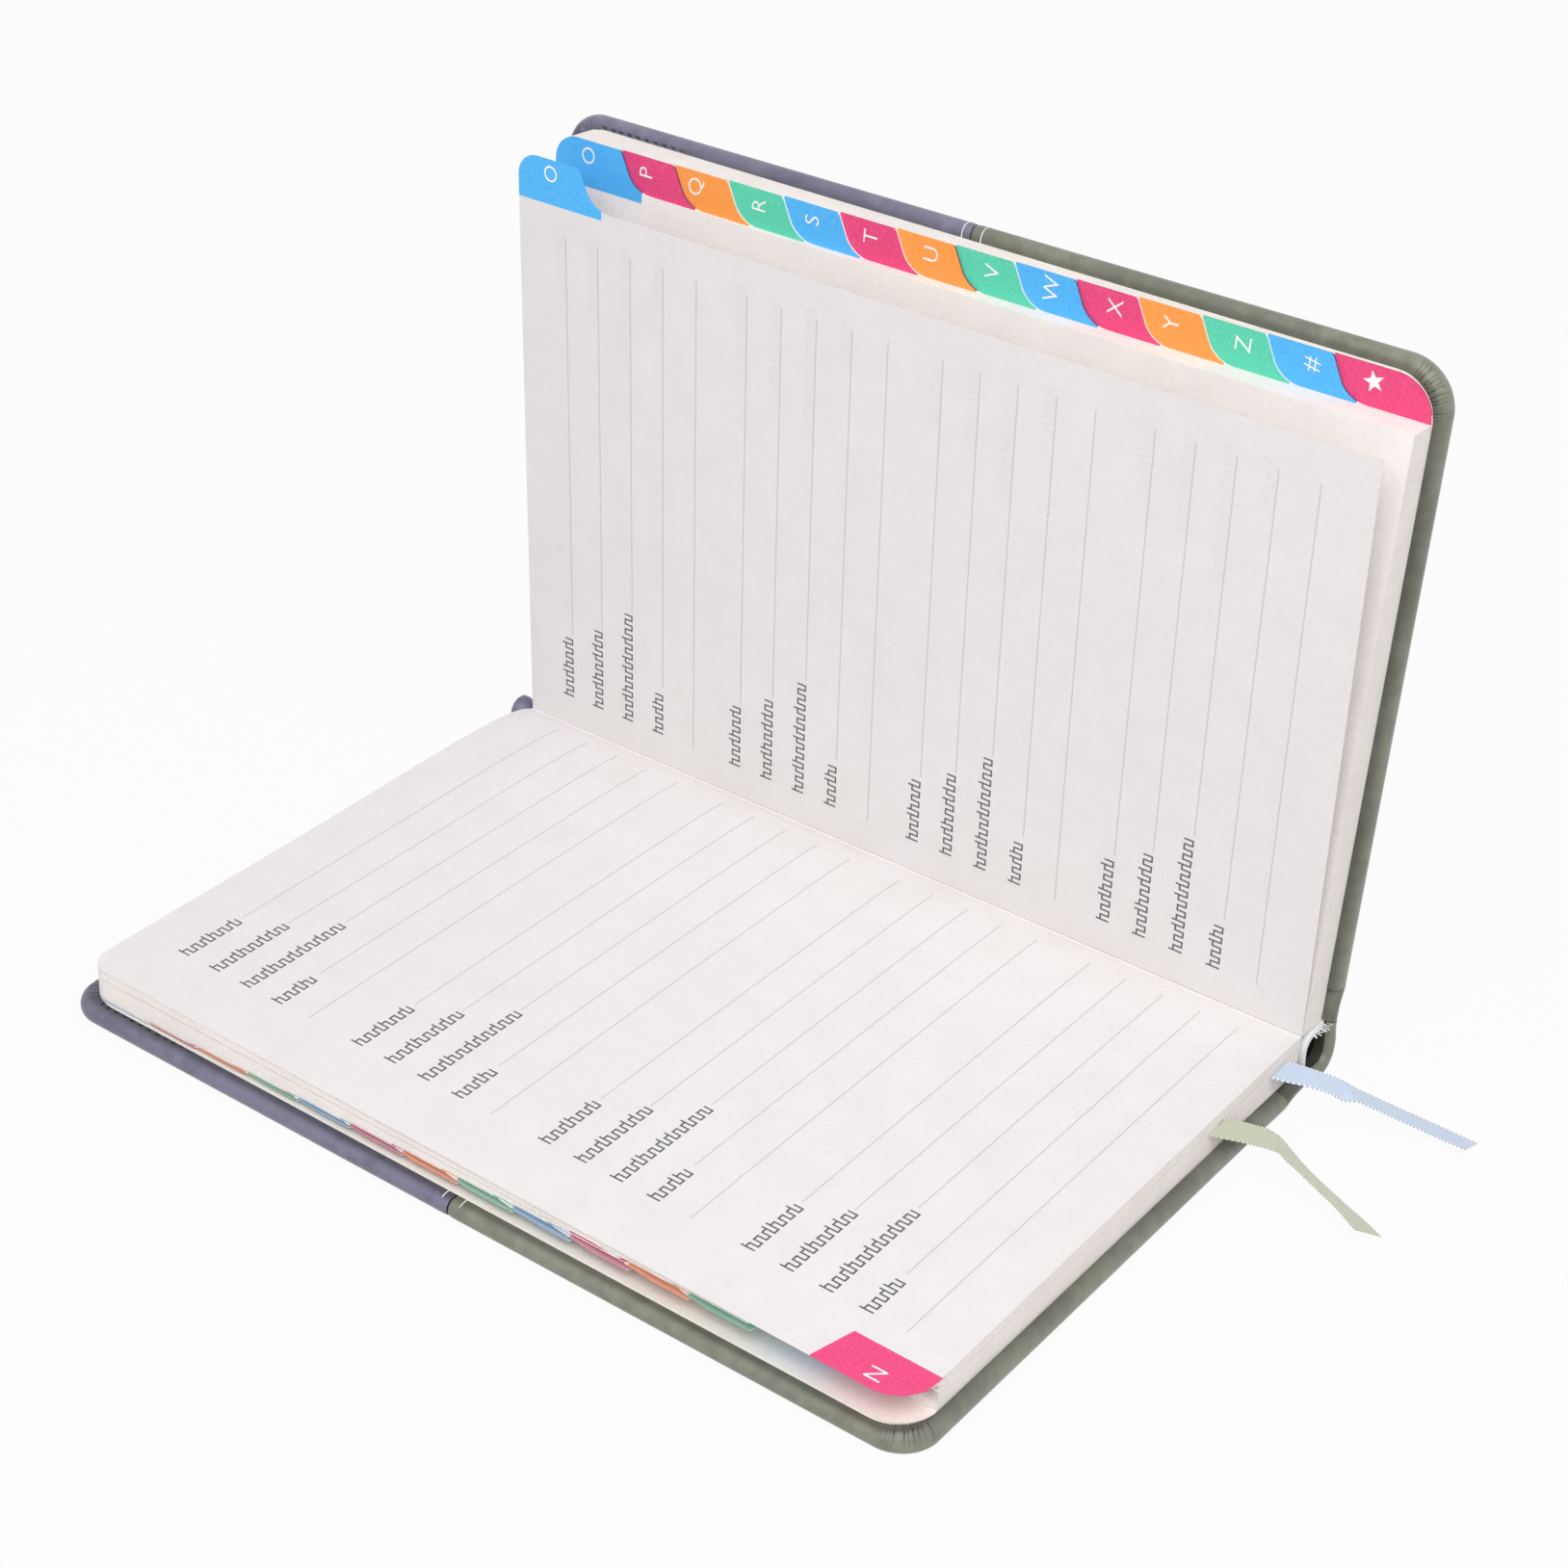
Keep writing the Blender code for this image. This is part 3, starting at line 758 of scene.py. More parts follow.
def layPrint(master, name, side, top, start, body, facing=1, turn=None):
    # facing 1 prints the open face of a leaf, -1 its other face
    sheet = copyPiece(master, name)
    drop = pagePrint["drop"][side] if name.startswith("labels") else 0
    move = Matrix.Translation((gutter.x + start, -drop, gutter.z - top + facing * pagePrint["lift"]))
    if facing < 0:
        move = move @ Matrix.Rotation(math.pi, 4, "Y")
    sheet.data.transform(move)
    if side == front:
        addBends(sheet, along=False)
        settle(sheet)
    else:
        standUp(sheet, turn)
    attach(sheet, body)
    if side == front:
        press(sheet)
    return sheet


rulesLeft = makeRules("rules_left", pagePrint["lineLong"]["left"])
rulesRight = makeRules("rules_right", pagePrint["lineLong"]["right"])
labels = makeLabels("label_strokes")
leafTurn = book["backTurn"] + book["leafLift"]
faces = {1: (openLeaf["top"], ""), -1: (openLeaf["top"] + leafCut["leafThick"], "_back")}
left = pagePrint["startLeft"]
right = pagePrint["startRight"]

for what, masterLeft, masterRight in (("rules", rulesLeft, rulesRight), ("labels", labels, labels)):
    for facing, (top, word) in faces.items():
        layPrint(masterLeft, what + "_leaf_N" + word, front, top, left[facing], "turning_leaf", facing)
    layPrint(masterLeft, what + "_section_N", front, leafCut["firstTop"], left[1], "front_block")
    for facing, (top, word) in faces.items():
        layPrint(masterRight, what + "_leaf_O" + word, back, top, right[facing], "lifted_leaf", facing, leafTurn)
    layPrint(masterRight, what + "_section_O", back, leafCut["sectionTop"], right[1], "back_block")

# faint strokes of the next page, seen through the lifted leaf
ghost = copyPiece(labels, "labels_through")
ghost.data.transform(Matrix.Translation((0, pagePrint["throughRise"], 0)) @ Matrix.Diagonal((-1, 1, 1, 1)))
ghost.data.flip_normals()
finishPiece(ghost, finishes["ghostInk"])
layPrint(ghost, "labels_seen_through_O", back, openLeaf["top"], pagePrint["startThrough"], "lifted_leaf", 1, leafTurn)
for master in (rulesLeft, rulesRight, labels, ghost):
    bpy.data.objects.remove(master, do_unlink=True)
print("page print laid")


# tab letters

tabLetter = {
    "high": 3.7 * mm,
    "capital": 0.72,           # height of a capital in the font, as a share of its size
    "thin": -0.012,
    "ink": 0.02 * mm,
    "star": 0.62,              # outer radius, as a share of the letters' height
    "starWaist": 0.4,
    "reach": 138.8 * mm,
    "reachO": 137.9 * mm,
    "reachN": 139.5 * mm,
    "headMargin": 2.6 * mm,    # left out of the first and the last tab
    "tailMargin": 4 * mm,
    # how far each letter is printed from the middle of its tab
    "shift": {"O": 1.2, "P": 0.3, "Q": 1.1, "R": -1.1, "S": -0.5, "T": -1.0, "U": -1.6, "V": -2.1, "W": -1.8,
              "X": -2.3, "Y": -0.7, "Z": -2.4, "number": -3.1, "star": 0.0, "N": -3.1},
}


def makeStar(size):
    deselect()
    bpy.ops.mesh.primitive_circle_add(vertices=10, radius=size, fill_type="NGON", rotation=(0, 0, 0))
    star = bpy.context.object
    editMode()
    pick(star, "VERT", lambda co: round(math.degrees(math.atan2(co.y, co.x)) - 90) % 72 != 0)
    bpy.ops.transform.resize(value=(tabLetter["starWaist"], tabLetter["starWaist"], 1), center_override=(0, 0, 0))
    thicken(tabLetter["ink"])
    objectMode()
    return star


def makeLetter(sign):
    plan = tabLetter
    if sign == "star":
        return makeStar(plan["high"] * plan["star"])
    deselect()
    bpy.ops.object.text_add()
    letter = bpy.context.object
    letter.data.body = "#" if sign == "number" else sign
    letter.data.size = plan["high"] / plan["capital"]
    letter.data.offset = plan["thin"] * plan["high"]
    letter.data.extrude = plan["ink"] / 2
    letter.data.resolution_u = 4
    bpy.ops.object.convert(target="MESH")
    letter = bpy.context.object
    xs = [v.co.x for v in letter.data.vertices]
    ys = [v.co.y for v in letter.data.vertices]
    letter.data.transform(Matrix.Translation((-(min(xs) + max(xs)) / 2, -(min(ys) + max(ys)) / 2, plan["ink"] / 2)))
    return letter


def placeLetter(sign, tab, side, top, reach=tabLetter["reach"], turn=None):
    plan = tabLetter
    start = leafCut["half"] - plan["headMargin"] if tab == 1 else tabEnd(tab - 1)
    end = tabEnd(tab) if tab < leafCut["tabs"] else -leafCut["half"] + plan["tailMargin"]
    letter = makeLetter(sign)
    along = (start + end) / 2 + plan["shift"][sign] * mm
    letter.data.transform(Matrix.Translation((gutter.x + side * reach, along, gutter.z - top + pagePrint["lift"])))
    if side == back:
        standUp(letter, turn)
    else:
        settle(letter)
    return letter


def finishLetters(name, parts, body):
    letters = joinPieces(name, parts)
    finishPiece(letters, finishes["whiteInk"])
    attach(letters, body)
    return letters


backLetters = [placeLetter(sign, i + 1, back, layerTop(i, back)) for i, sign in enumerate(backNames)]
finishLetters("letters_standing_tabs", backLetters, "back_block")
lastTab = leafCut["tabs"]
letter = placeLetter("N", lastTab, front, leafCut["firstTop"])
press(finishLetters("letter_section_N", [letter], "front_block"))
letter = placeLetter("N", lastTab, front, openLeaf["top"], tabLetter["reachN"])
press(finishLetters("letter_leaf_N", [letter], "turning_leaf"))
letter = placeLetter("O", 1, back, openLeaf["top"], tabLetter["reachO"], leafTurn)
finishLetters("letter_leaf_O", [letter], "lifted_leaf")
print("tab letters placed")


# padded covers

coverPlan = {
    "start": 8 * mm,            # the groove side, from the gutter
    "reach": 144.8 * mm,
    "head": 108.2 * mm,
    "tail": 106.65 * mm,
    "corners": {front: (8.5 * mm, 8.7 * mm), back: (9.0 * mm, 10.5 * mm)},      # at the head and the tail
    "inside": 9.21 * mm,        # depth of the face under the endpaper
    "outside": 13.41 * mm,
    "round": 1.95 * mm,
    "roundSteps": 8,
    "face": [4.0 * mm, 2.9 * mm],
    "lip": [2.1 * mm, 2.25 * mm, 2.4 * mm, 2.55 * mm, 2.7 * mm, 2.9 * mm, 4.2 * mm, 5.4 * mm],
    "bead": {front: 0.75 * mm, back: 0.6 * mm},       # the padded tail edge stands up beside the block
    "beadOver": {front: (2.3 * mm, 2.9 * mm), back: (2.6 * mm, 3.15 * mm)},
    "thinNear": {front: 0.8, back: 1.0},            # the edge gets thinner towards the groove
    "thinOver": 16 * mm,
    "askew": {front: (0.65 * mm, 0.0), back: (-0.25 * mm, 0.5 * mm)},     # extra reach at the head and the tail
    "askewFrom": 100 * mm,
    "askewOver": 40 * mm,
    "sideSteps": 300,
    "foreSteps": 480,
    "cornerSteps": 80,
    "skin": 0.6 * mm,
    "turned": (0.45, 0.5),      # the inner part of the edge: from this share of the thickness, over this share
    "pleats": {front: 25, back: 34},
    "pleatSharp": 0.85,
    "pleatEnds": (0.4, 0.12),   # they run out over this angle towards the fore edge and the tail
    "pleatFrom": 0.6 * mm,      # in from the outline, full after another millimetre
    "pleatOver": 1.0 * mm,
    "pleatFaint": 0.55,         # what is left of a pleat further out
    # painted shade in the pleats' folds
    "pleatShade": 1.15,
    "pleatSink": 0.2 * mm,
    "pleatRaise": 0.25 * mm,    # the crimped leather is thicker there
    "puckerDeep": 0.5 * mm,
    "puckerLong": 2.3 * mm,
    "puckerAt": 2.25 * mm,      # in from the outline
    "puckerWide": 0.4 * mm,
    "puckerFrom": 68 * mm,      # along the fore edge, up to the head
    "puckerOver": 12 * mm,
    "puckerSweep": 9 * mm,      # their spacing wanders over this length
    # painted shade: how dark the turned-in edge is painted beside the paper, where shade falls, and from where to
    # where it darkens
    "paintedContactShade": {"fore": {front: 0.5, back: 0.34}, "tail": {front: 0.42, back: 0.56}},
    "paintedContactShadeOver": {"fore": (-0.4 * mm, 2.4 * mm), "tail": (-0.6 * mm, 1.7 * mm)},
    "paintedForeShade": 0.24,             # painted shade: the lying cover's slate fore edge is painted darker, for the dimmer light that reaches it
    "seamDip": 0.16 * mm,
    "seamWide": 0.6 * mm,
    "seamGap": 0.13 * mm,
    "seamRows": [-3.2, -2.2, -1.5, -1.0, -0.6, -0.3, 0.3, 0.6, 1.0, 1.5, 2.2, 3.2],
}


def coverEdge(headCorner, tailCorner):
    # stations round the three free sides: place on the outline and the way out of it
    plan = coverPlan
    headEnd = plan["reach"] - headCorner
    tailEnd = plan["reach"] - tailCorner
    high = plan["head"] - headCorner
    low = tailCorner - plan["tail"]
    side, fore, corner = ([i / plan[steps] for i in range(plan[steps])]
                          for steps in ("sideSteps", "foreSteps", "cornerSteps"))
    stations = [(plan["start"] + (headEnd - plan["start"]) * s, plan["head"], 0, 1) for s in side]
    for s in corner:
        out = (math.cos(math.pi / 2 * (1 - s)), math.sin(math.pi / 2 * (1 - s)))
        stations.append((headEnd + headCorner * out[0], high + headCorner * out[1], *out))
    stations += [(plan["reach"], high + (low - high) * s, 1, 0) for s in fore]
    for s in corner:
        out = (math.cos(-math.pi / 2 * s), math.sin(-math.pi / 2 * s))
        stations.append((tailEnd + tailCorner * out[0], low + tailCorner * out[1], *out))
    return stations + [(tailEnd + (plan["start"] - tailEnd) * s, -plan["tail"], 0, -1) for s in side + [1]]


def coverSection():
    # how far in from the outline and how deep, from the outer face over the edge to the turned-in lip
    plan = coverPlan
    rows = [(inset, plan["outside"]) for inset in plan["face"]]
    turns = [math.pi / 2 * i / plan["roundSteps"] for i in range(plan["roundSteps"] + 1)]
    rows += [(plan["round"] * (1 - math.sin(t)), plan["outside"] - plan["round"] * (1 - math.cos(t))) for t in turns]
    rows += [(plan["round"] * (1 - math.cos(t)), plan["inside"] + plan["round"] * (1 - math.sin(t))) for t in turns]
    rows += [(inset, plan["inside"]) for inset in plan["lip"]]
    return rows


def makeCoverSkin(name, side):
    plan = coverPlan
    stations = coverEdge(*plan["corners"][side])
    section = coverSection()
    middle = (plan["inside"] + plan["outside"]) / 2
    beadFrom, beadTo = plan["beadOver"][side]
    atGroove = plan["thinNear"][side]
    atHead, atTail = plan["askew"][side]
    skin = startGrid(name, len(stations) - 1, len(section) - 1)
    firstRow = set()
    for v in skin.data.vertices:
        x, y, outX, outY = stations[round((v.co.x + 0.5) * (len(stations) - 1))]
        row = round((v.co.y + 0.5) * (len(section) - 1))
        inset, depth = section[row]
        if row == 0:
            firstRow.add(v.index)
        edge = ease((beadTo - inset) / (beadTo - beadFrom))
        if depth < middle:
            rise = (middle - depth) / (middle - plan["inside"])
            depth -= plan["bead"][side] * max(0, -outY) * rise * edge
        thin = atGroove + (1 - atGroove) * ease((x - plan["start"]) / plan["thinOver"])
        depth = plan["outside"] - (plan["outside"] - depth) * (1 - (1 - thin) * edge)
        high = (y + plan["tail"]) / (plan["head"] + plan["tail"])
        x += (atTail + (atHead - atTail) * high) * ease((x - plan["askewFrom"]) / plan["askewOver"])
        v.co = (gutter.x + side * (x - outX * inset), y - outY * inset, gutter.z - depth)
    skin.data.update()
    editMode()
    # the outer face fills the ring's first row
    bpy.ops.mesh.select_mode(type="VERT")
    bpy.ops.mesh.select_all(action="DESELECT")
    bm = bmesh.from_edit_mesh(skin.data)
    bm.verts.ensure_lookup_table()
    for index in firstRow:
        bm.verts[index].select_set(True)
    bm.select_flush_mode()
    bmesh.update_edit_mesh(skin.data)
    bpy.ops.mesh.edge_face_add()
    bpy.ops.mesh.select_all(action="SELECT")
    bpy.ops.mesh.normals_make_consistent(inside=False)
    bm = bmesh.from_edit_mesh(skin.data)
    if max(bm.faces, key=lambda face: face.calc_area()).normal.z > 0:
        bpy.ops.mesh.flip_normals()
    for offset in plan["seamRows"]:
        sliceAt((0, book["seam"] + offset * mm, 0), (0, 1, 0))
    objectMode()
    return skin


def pleatSkin(skin, side):
    # crimped corners, small puckers along the turned-in edge, and the dip at the sewn seam; painted shade darkens the
    # pleats' folds, the puckers' pits and the edge beside the paper
    plan = coverPlan
    skin.data.update()
    paintedShade = skin.data.attributes.new("paintedShade", "FLOAT", "POINT")
    turnedFrom, turnedOver = plan["turned"]
    foreEnd, tailEnd = plan["pleatEnds"]
    shifts = []
    for v in skin.data.vertices:
        reach = side * (v.co.x - gutter.x)
        depth = gutter.z - v.co.z
        share = (plan["outside"] - depth) / (plan["outside"] - plan["inside"])
        turned = ease((share - turnedFrom) / turnedOver)
        atHead = v.co.y > 0
        corner = plan["corners"][side][0 if atHead else 1]
        cornerX = reach - plan["reach"] + corner
        cornerY = (v.co.y - plan["head"] if atHead else -v.co.y - plan["tail"]) + corner
        inCorner = cornerX > 0 and cornerY > 0
        inset = corner - (math.hypot(cornerX, cornerY) if inCorner else max(cornerX, cornerY))
        where = "fore" if cornerX > cornerY else "tail"
        fromEdge, toPaper = plan["paintedContactShadeOver"][where]
        # dark is painted shade: beside the paper, on the lying cover's fore edge, and in the pleats and puckers below
        paintedForeShade = plan["paintedForeShade"] if side == front and where == "fore" and v.co.y > book["seam"] else 0
        dark = paintedForeShade + plan["paintedContactShade"][where][side] * turned * ease((inset - fromEdge) / (toPaper - fromEdge))
        if inCorner:
            turn = math.atan2(cornerY, cornerX)
            wander = turn + 0.05 * math.sin(7 * turn + side) + 0.035 * math.sin(17 * turn)    # uneven spacing
            ridge = abs(math.sin(plan["pleats"][side] * wander)) ** plan["pleatSharp"]
            crimped = turned * ease(min(1.0, turn / foreEnd, (math.pi / 2 - turn) / tailEnd))
            inward = ease((inset - plan["pleatFrom"]) / plan["pleatOver"])
            fold = (1 - ridge) * crimped * (plan["pleatFaint"] + (1 - plan["pleatFaint"]) * inward)
            push = plan["pleatSink"] * fold - plan["pleatRaise"] * crimped * inward
            # painted shade in the pleat folds
            dark = max(dark, min(1.0, plan["pleatShade"] * fold))
        else:
            along = v.co.y if cornerX > 0 else reach
            sweep = 1.2 * math.sin(along / plan["puckerSweep"])
            wave = 0.5 + 0.5 * math.sin(2 * math.pi * along / plan["puckerLong"] + sweep)
            crimp = ease(1 - abs(inset - plan["puckerAt"]) / plan["puckerWide"])
            strong = ease((v.co.y - plan["puckerFrom"]) / plan["puckerOver"]) if where == "fore" else 0
            fold = ease((wave - 0.3) / 0.3) * turned * crimp * strong
            push = plan["puckerDeep"] * fold
            # painted shade in the pucker pits
            dark = max(dark, fold)
        gap = (v.co.y - book["seam"]) / plan["seamWide"]
        push += plan["seamDip"] * math.exp(-gap * gap)
        shifts.append(v.normal * -push)
        paintedShade.data[v.index].value = dark
    for v, shift in zip(skin.data.vertices, shifts):
        v.co += shift
    skin.data.update()


def keepTone(skin, tone, node):
    # one half of the skin, cut at the seam and given its thickness
    plan = coverPlan
    half = copyPiece(skin, node)
    editMode()
    edge = book["seam"] + (plan["seamGap"] if tone == "slate" else -plan["seamGap"])
    sliceAt((0, edge, 0), (0, 1, 0), clear_inner=tone == "slate", clear_outer=tone == "olive")
    objectMode()
    finishPiece(half, finishes[tone], finishes["backingAndShade"])
    useModifier(half, "SOLIDIFY", thickness=plan["skin"], offset=-1, use_even_offset=False, material_offset=1,
                material_offset_rim=1)
    smooth(half, 40)
    return half


def makeCover(name, side):
    skin = makeCoverSkin(name + "_skin", side)
    pleatSkin(skin, side)
    for tone in ("slate", "olive"):
        half = keepTone(skin, tone, name + "_cover_" + tone)
        if side == back:
            standUp(half)
        standFor(half, name + "_leather_" + tone, name + "_cover")
    bpy.data.objects.remove(skin, do_unlink=True)


makeCover("front", front)
makeCover("back", back)
print("padded covers made")


# grooves beside the spine, and the spine itself

bandPlan = {
    "skin": 0.7 * mm,
    "grooveDeep": 0.4 * mm,
    "grooveHem": 1.35,          # how full the hem is
    "grooveDark": 0.42,         # shade where it meets the pages
    "darkOver": 1.5 * mm,
    "grooveStart": 8.0 * mm,
    "grooveEnd": 0.0 * mm,
    "spineRadius": 11.71 * mm,
    "spineBulge": 4.8 * mm,
    "steps": 24,
    # from the free edge along the spine, and inwards
    "hem": [(3.6, 1.9), (2.4, 2.0), (1.3, 2.05), (0.5, 1.9), (0.14, 1.5), (0.0, 1.02), (0.14, 0.55), (0.5, 0.18),
            (1.1, 0.03), (2.0, 0.0), (5.0, 0.0), (9.0, 0.0), (14.0, 0.0)],
    "rows": [0.03, 0.08, 0.18, 0.4, 0.65, 0.85, 1.0],      # past the hem, as shares of the rest
    "spineHem": 1.4,            # the hem of the spine is fuller in the middle
    "lined": 1.2 * mm,          # its inside shows the dark backing from here on, painted shade for the hollow of the spine
    "capLong": 11 * mm,
    "capRise": 4.6 * mm,
    "capLean": 9.8 * mm,
}


def makeBand(name, profile, low, high, tone, hemFull):
    # a strip drawn along the profile, its free end turned in as a soft hem
    plan = bandPlan
    hem = [(along * mm, inward * mm) for along, inward in plan["hem"]]
    long = high - low
    onSpine = name.startswith("case")
    rows = hem + [(hem[-1][0] + (long - hem[-1][0]) * share, 0) for share in plan["rows"]]
    band = startGrid(name, len(profile) - 1, len(rows) - 1)
    paintedShade = band.data.attributes.new("paintedShade", "FLOAT", "POINT")
    for v in band.data.vertices:
        step = round((v.co.x + 0.5) * (len(profile) - 1))
        along, inward = rows[round((v.co.y + 0.5) * (len(rows) - 1))]
        x, z = profile[step]
        before = profile[max(step - 1, 0)]
        after = profile[min(step + 1, len(profile) - 1)]
        square = Vector((before[1] - after[1], 0, after[0] - before[0])).normalized()
        if square.dot(Vector((gutter.x - x, 0, gutter.z - z))) < 0:
            square = -square
        along += plan["skin"] / 2
        y = high - along if tone == "slate" else low + along
        if not onSpine:
            # painted shade where the groove meets the pages
            paintedShade.data[v.index].value = plan["grooveDark"] * ease(inward / plan["darkOver"])
            inward *= hemFull
        else:
            middle = math.sin(math.pi * step / (len(profile) - 1))
            inward *= 1 + (hemFull - 1) * middle
            if tone == "slate":
                # the head end stands up past the covers and leans in over the block
                up = ease(1 - along / plan["capLong"])
                y += plan["capRise"] * up * middle
                inward += plan["capLean"] * up * middle ** 2
        v.co = Vector((x, y, z)) + square * inward
    band.data.update()
    useModifier(band, "SOLIDIFY", thickness=plan["skin"], offset=0)
    smooth(band, 50)
    finishPiece(band, finishes[tone], finishes["backingAndShade"])
    for face in band.data.polygons:
        middle = face.center
        inside = face.normal.dot(Vector((gutter.x - middle.x, 0, gutter.z - middle.z))) > 0
        if onSpine and inside and low + plan["lined"] < middle.y < high - plan["lined"]:
            face.material_index = 1
    return band


def grooveProfile(side):
    plan = bandPlan
    outer = coverPlan["outside"] - plan["skin"] / 2
    profile = []
    for i in range(plan["steps"] + 1):
        s = i / plan["steps"]
        reach = plan["grooveStart"] + (plan["grooveEnd"] - plan["grooveStart"]) * s
        depth = outer + (plan["spineRadius"] - outer) * s - plan["grooveDeep"] * math.sin(math.pi * s) ** 2
        profile.append((gutter.x + side * reach, gutter.z - depth))
    return profile


def spineProfile():
    plan = bandPlan
    profile = []
    for i in range(plan["steps"] + 1):
        s = i / plan["steps"]
        turn = book["backTurn"] * s
        radius = plan["spineRadius"] + plan["spineBulge"] * math.sin(math.pi * s) ** 2
        profile.append((gutter.x + radius * math.sin(turn), gutter.z - radius * math.cos(turn)))
    return profile


tones = {
    "slate": (book["seam"] + coverPlan["seamGap"], coverPlan["head"]),
    "olive": (-coverPlan["tail"], book["seam"] - coverPlan["seamGap"]),
}
for tone, (low, high) in tones.items():
    for name, side, bodies in (("front", front, ("front_cover", "front_block")),
                               ("back", back, ("back_cover", "back_block"))):
        groove = makeBand(name + "_groove_" + tone, grooveProfile(side), low, high, tone, bandPlan["grooveHem"])
        if side == back:
            standUp(groove)
        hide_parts(name + "_joint_leather_" + tone)
        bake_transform(groove)
    spine = makeBand("case_spine_" + tone, spineProfile(), low, high, tone, bandPlan["spineHem"])
    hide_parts("spine_leather_" + tone)
    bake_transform(spine)
print("spine and grooves made")


# white sewing thread along the seam

threadPlan = {
    "radius": 0.12 * mm,
    "rows": (-2.6 * mm, 2.0 * mm),      # beside the seam
    "first": 1.2 * mm,
    "stitch": 2.6 * mm,
    "step": 3.4 * mm,
    "points": 4,
    "edgePoints": 16,           # the last stitch goes round the fore edge
    "turnIn": 1.6 * mm,         # and this far in past it
    "rise": 0.1 * mm,
    "sink": 0.1 * mm,
}


def smoothRoute(points, steps):
    ends = [2 * points[0] - points[1]] + points + [2 * points[-1] - points[-2]]
    route = []
    for a, b, c, d in zip(ends, ends[1:], ends[2:], ends[3:]):
        for i in range(steps):
            t = i / steps
            route.append(0.5 * (2 * b + (c - a) * t + (2 * a - 5 * b + 4 * c - d) * t**2
                                + (3 * b - a - 3 * c + d) * t**3))
    route.append(points[-1])
    return route


def makeThread(name, routes, radius, finish):
    curve = bpy.data.curves.new(name, "CURVE")
    curve.dimensions = "3D"
    curve.bevel_depth = radius
    curve.bevel_resolution = 2
    curve.use_fill_caps = True
    for route in routes:
        line = curve.splines.new("POLY")
        line.points.add(len(route) - 1)
        for point, place in zip(line.points, route):
            point.co = (*place, 1)
    thread = bpy.data.objects.new(name, curve)
    bpy.context.scene.collection.objects.link(thread)
    selectOnly(thread)
    bpy.ops.object.convert(target="MESH")
    thread = bpy.context.object
    thread.name = name
    smooth(thread, 60)
    return finishPiece(thread, finish)


def coverPath(distance):
    # a point and outward direction on the cover's section, going from the groove over the fore edge to the lip
    plan = coverPlan
    flat = plan["reach"] - plan["round"] - plan["start"]
    middle = (plan["inside"] + plan["outside"]) / 2
    quarter = math.pi / 2 * plan["round"]
    wall = plan["outside"] - plan["inside"] - 2 * plan["round"]
    edge = plan["reach"] - plan["round"]
    if distance < flat:
        return Vector((plan["start"] + distance, plan["outside"])), Vector((0, 1))
    distance -= flat
    if distance < quarter:
        turn = distance / plan["round"]
        out = Vector((math.sin(turn), math.cos(turn)))
        return Vector((edge, plan["outside"] - plan["round"])) + out * plan["round"], out
    distance -= quarter
    if distance < wall:
        return Vector((plan["reach"], middle + wall / 2 - distance)), Vector((1, 0))
    distance -= wall
    if distance < quarter:
        turn = distance / plan["round"]
        out = Vector((math.cos(turn), -math.sin(turn)))
        return Vector((edge, plan["inside"] + plan["round"])) + out * plan["round"], out
    distance -= quarter
    return Vector((edge - distance, plan["inside"])), Vector((0, -1))


def coverStitches(name, side):
    plan = threadPlan
    flat = coverPlan["reach"] - coverPlan["round"] - coverPlan["start"]
    total = flat + math.pi * coverPlan["round"] + plan["turnIn"]
    routes = []
    for row in plan["rows"]:
        start = plan["first"]
        while start + plan["stitch"] < total:
            onFace = start + plan["step"] < flat
            long = plan["stitch"] if onFace else total - start
            count = plan["points"] if onFace else plan["edgePoints"]
            route = []
            for i in range(count + 1):
                spot, out = coverPath(start + long * i / count)
                spot = spot + out * (plan["rise"] if 0 < i < count else -plan["sink"])
                route.append((gutter.x + side * spot.x, book["seam"] + row, gutter.z - spot.y))
            routes.append(route)
            start += plan["step"] if onFace else total
    stitches = makeThread(name, routes, plan["radius"], finishes["thread"])
    if side == back:
        standUp(stitches)
    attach(stitches, "front_cover" if side == front else "back_cover")


coverStitches("front_stitches", front)
coverStitches("back_stitches", back)
print("stitches sewn")


# cloth lining in the hollow of the spine, frayed at the tail

mullPlan = {
    "profile": [(2.6, -9.0), (2.3, -7.2), (2.1, -5.4), (2.3, -3.9), (3.2, -2.6), (4.7, -1.75), (6.4, -1.5),
                (8.2, -1.4), (9.6, -0.9)],
    "half": 104.5 * mm,
    "thick": 1.3 * mm,
    "threads": 11,
    "frayFrom": 0.62,           # share of the profile where the frayed threads start
    "long": (0.6 * mm, 2.2 * mm),
    "bend": 0.7 * mm,
    "drop": 0.5 * mm,
    "radius": 0.11 * mm,
    # loose threads across the hollow: how far round, how far out in millimetres
    "loose": [((0.25, 4.5), (0.4, 9), (0.3, 12)), ((0.45, 3.5), (0.6, 8), (0.5, 11)),
              ((0.7, 3), (0.72, 7), (0.85, 10)), ((0.35, 10), (0.5, 6), (0.62, 9))],
}


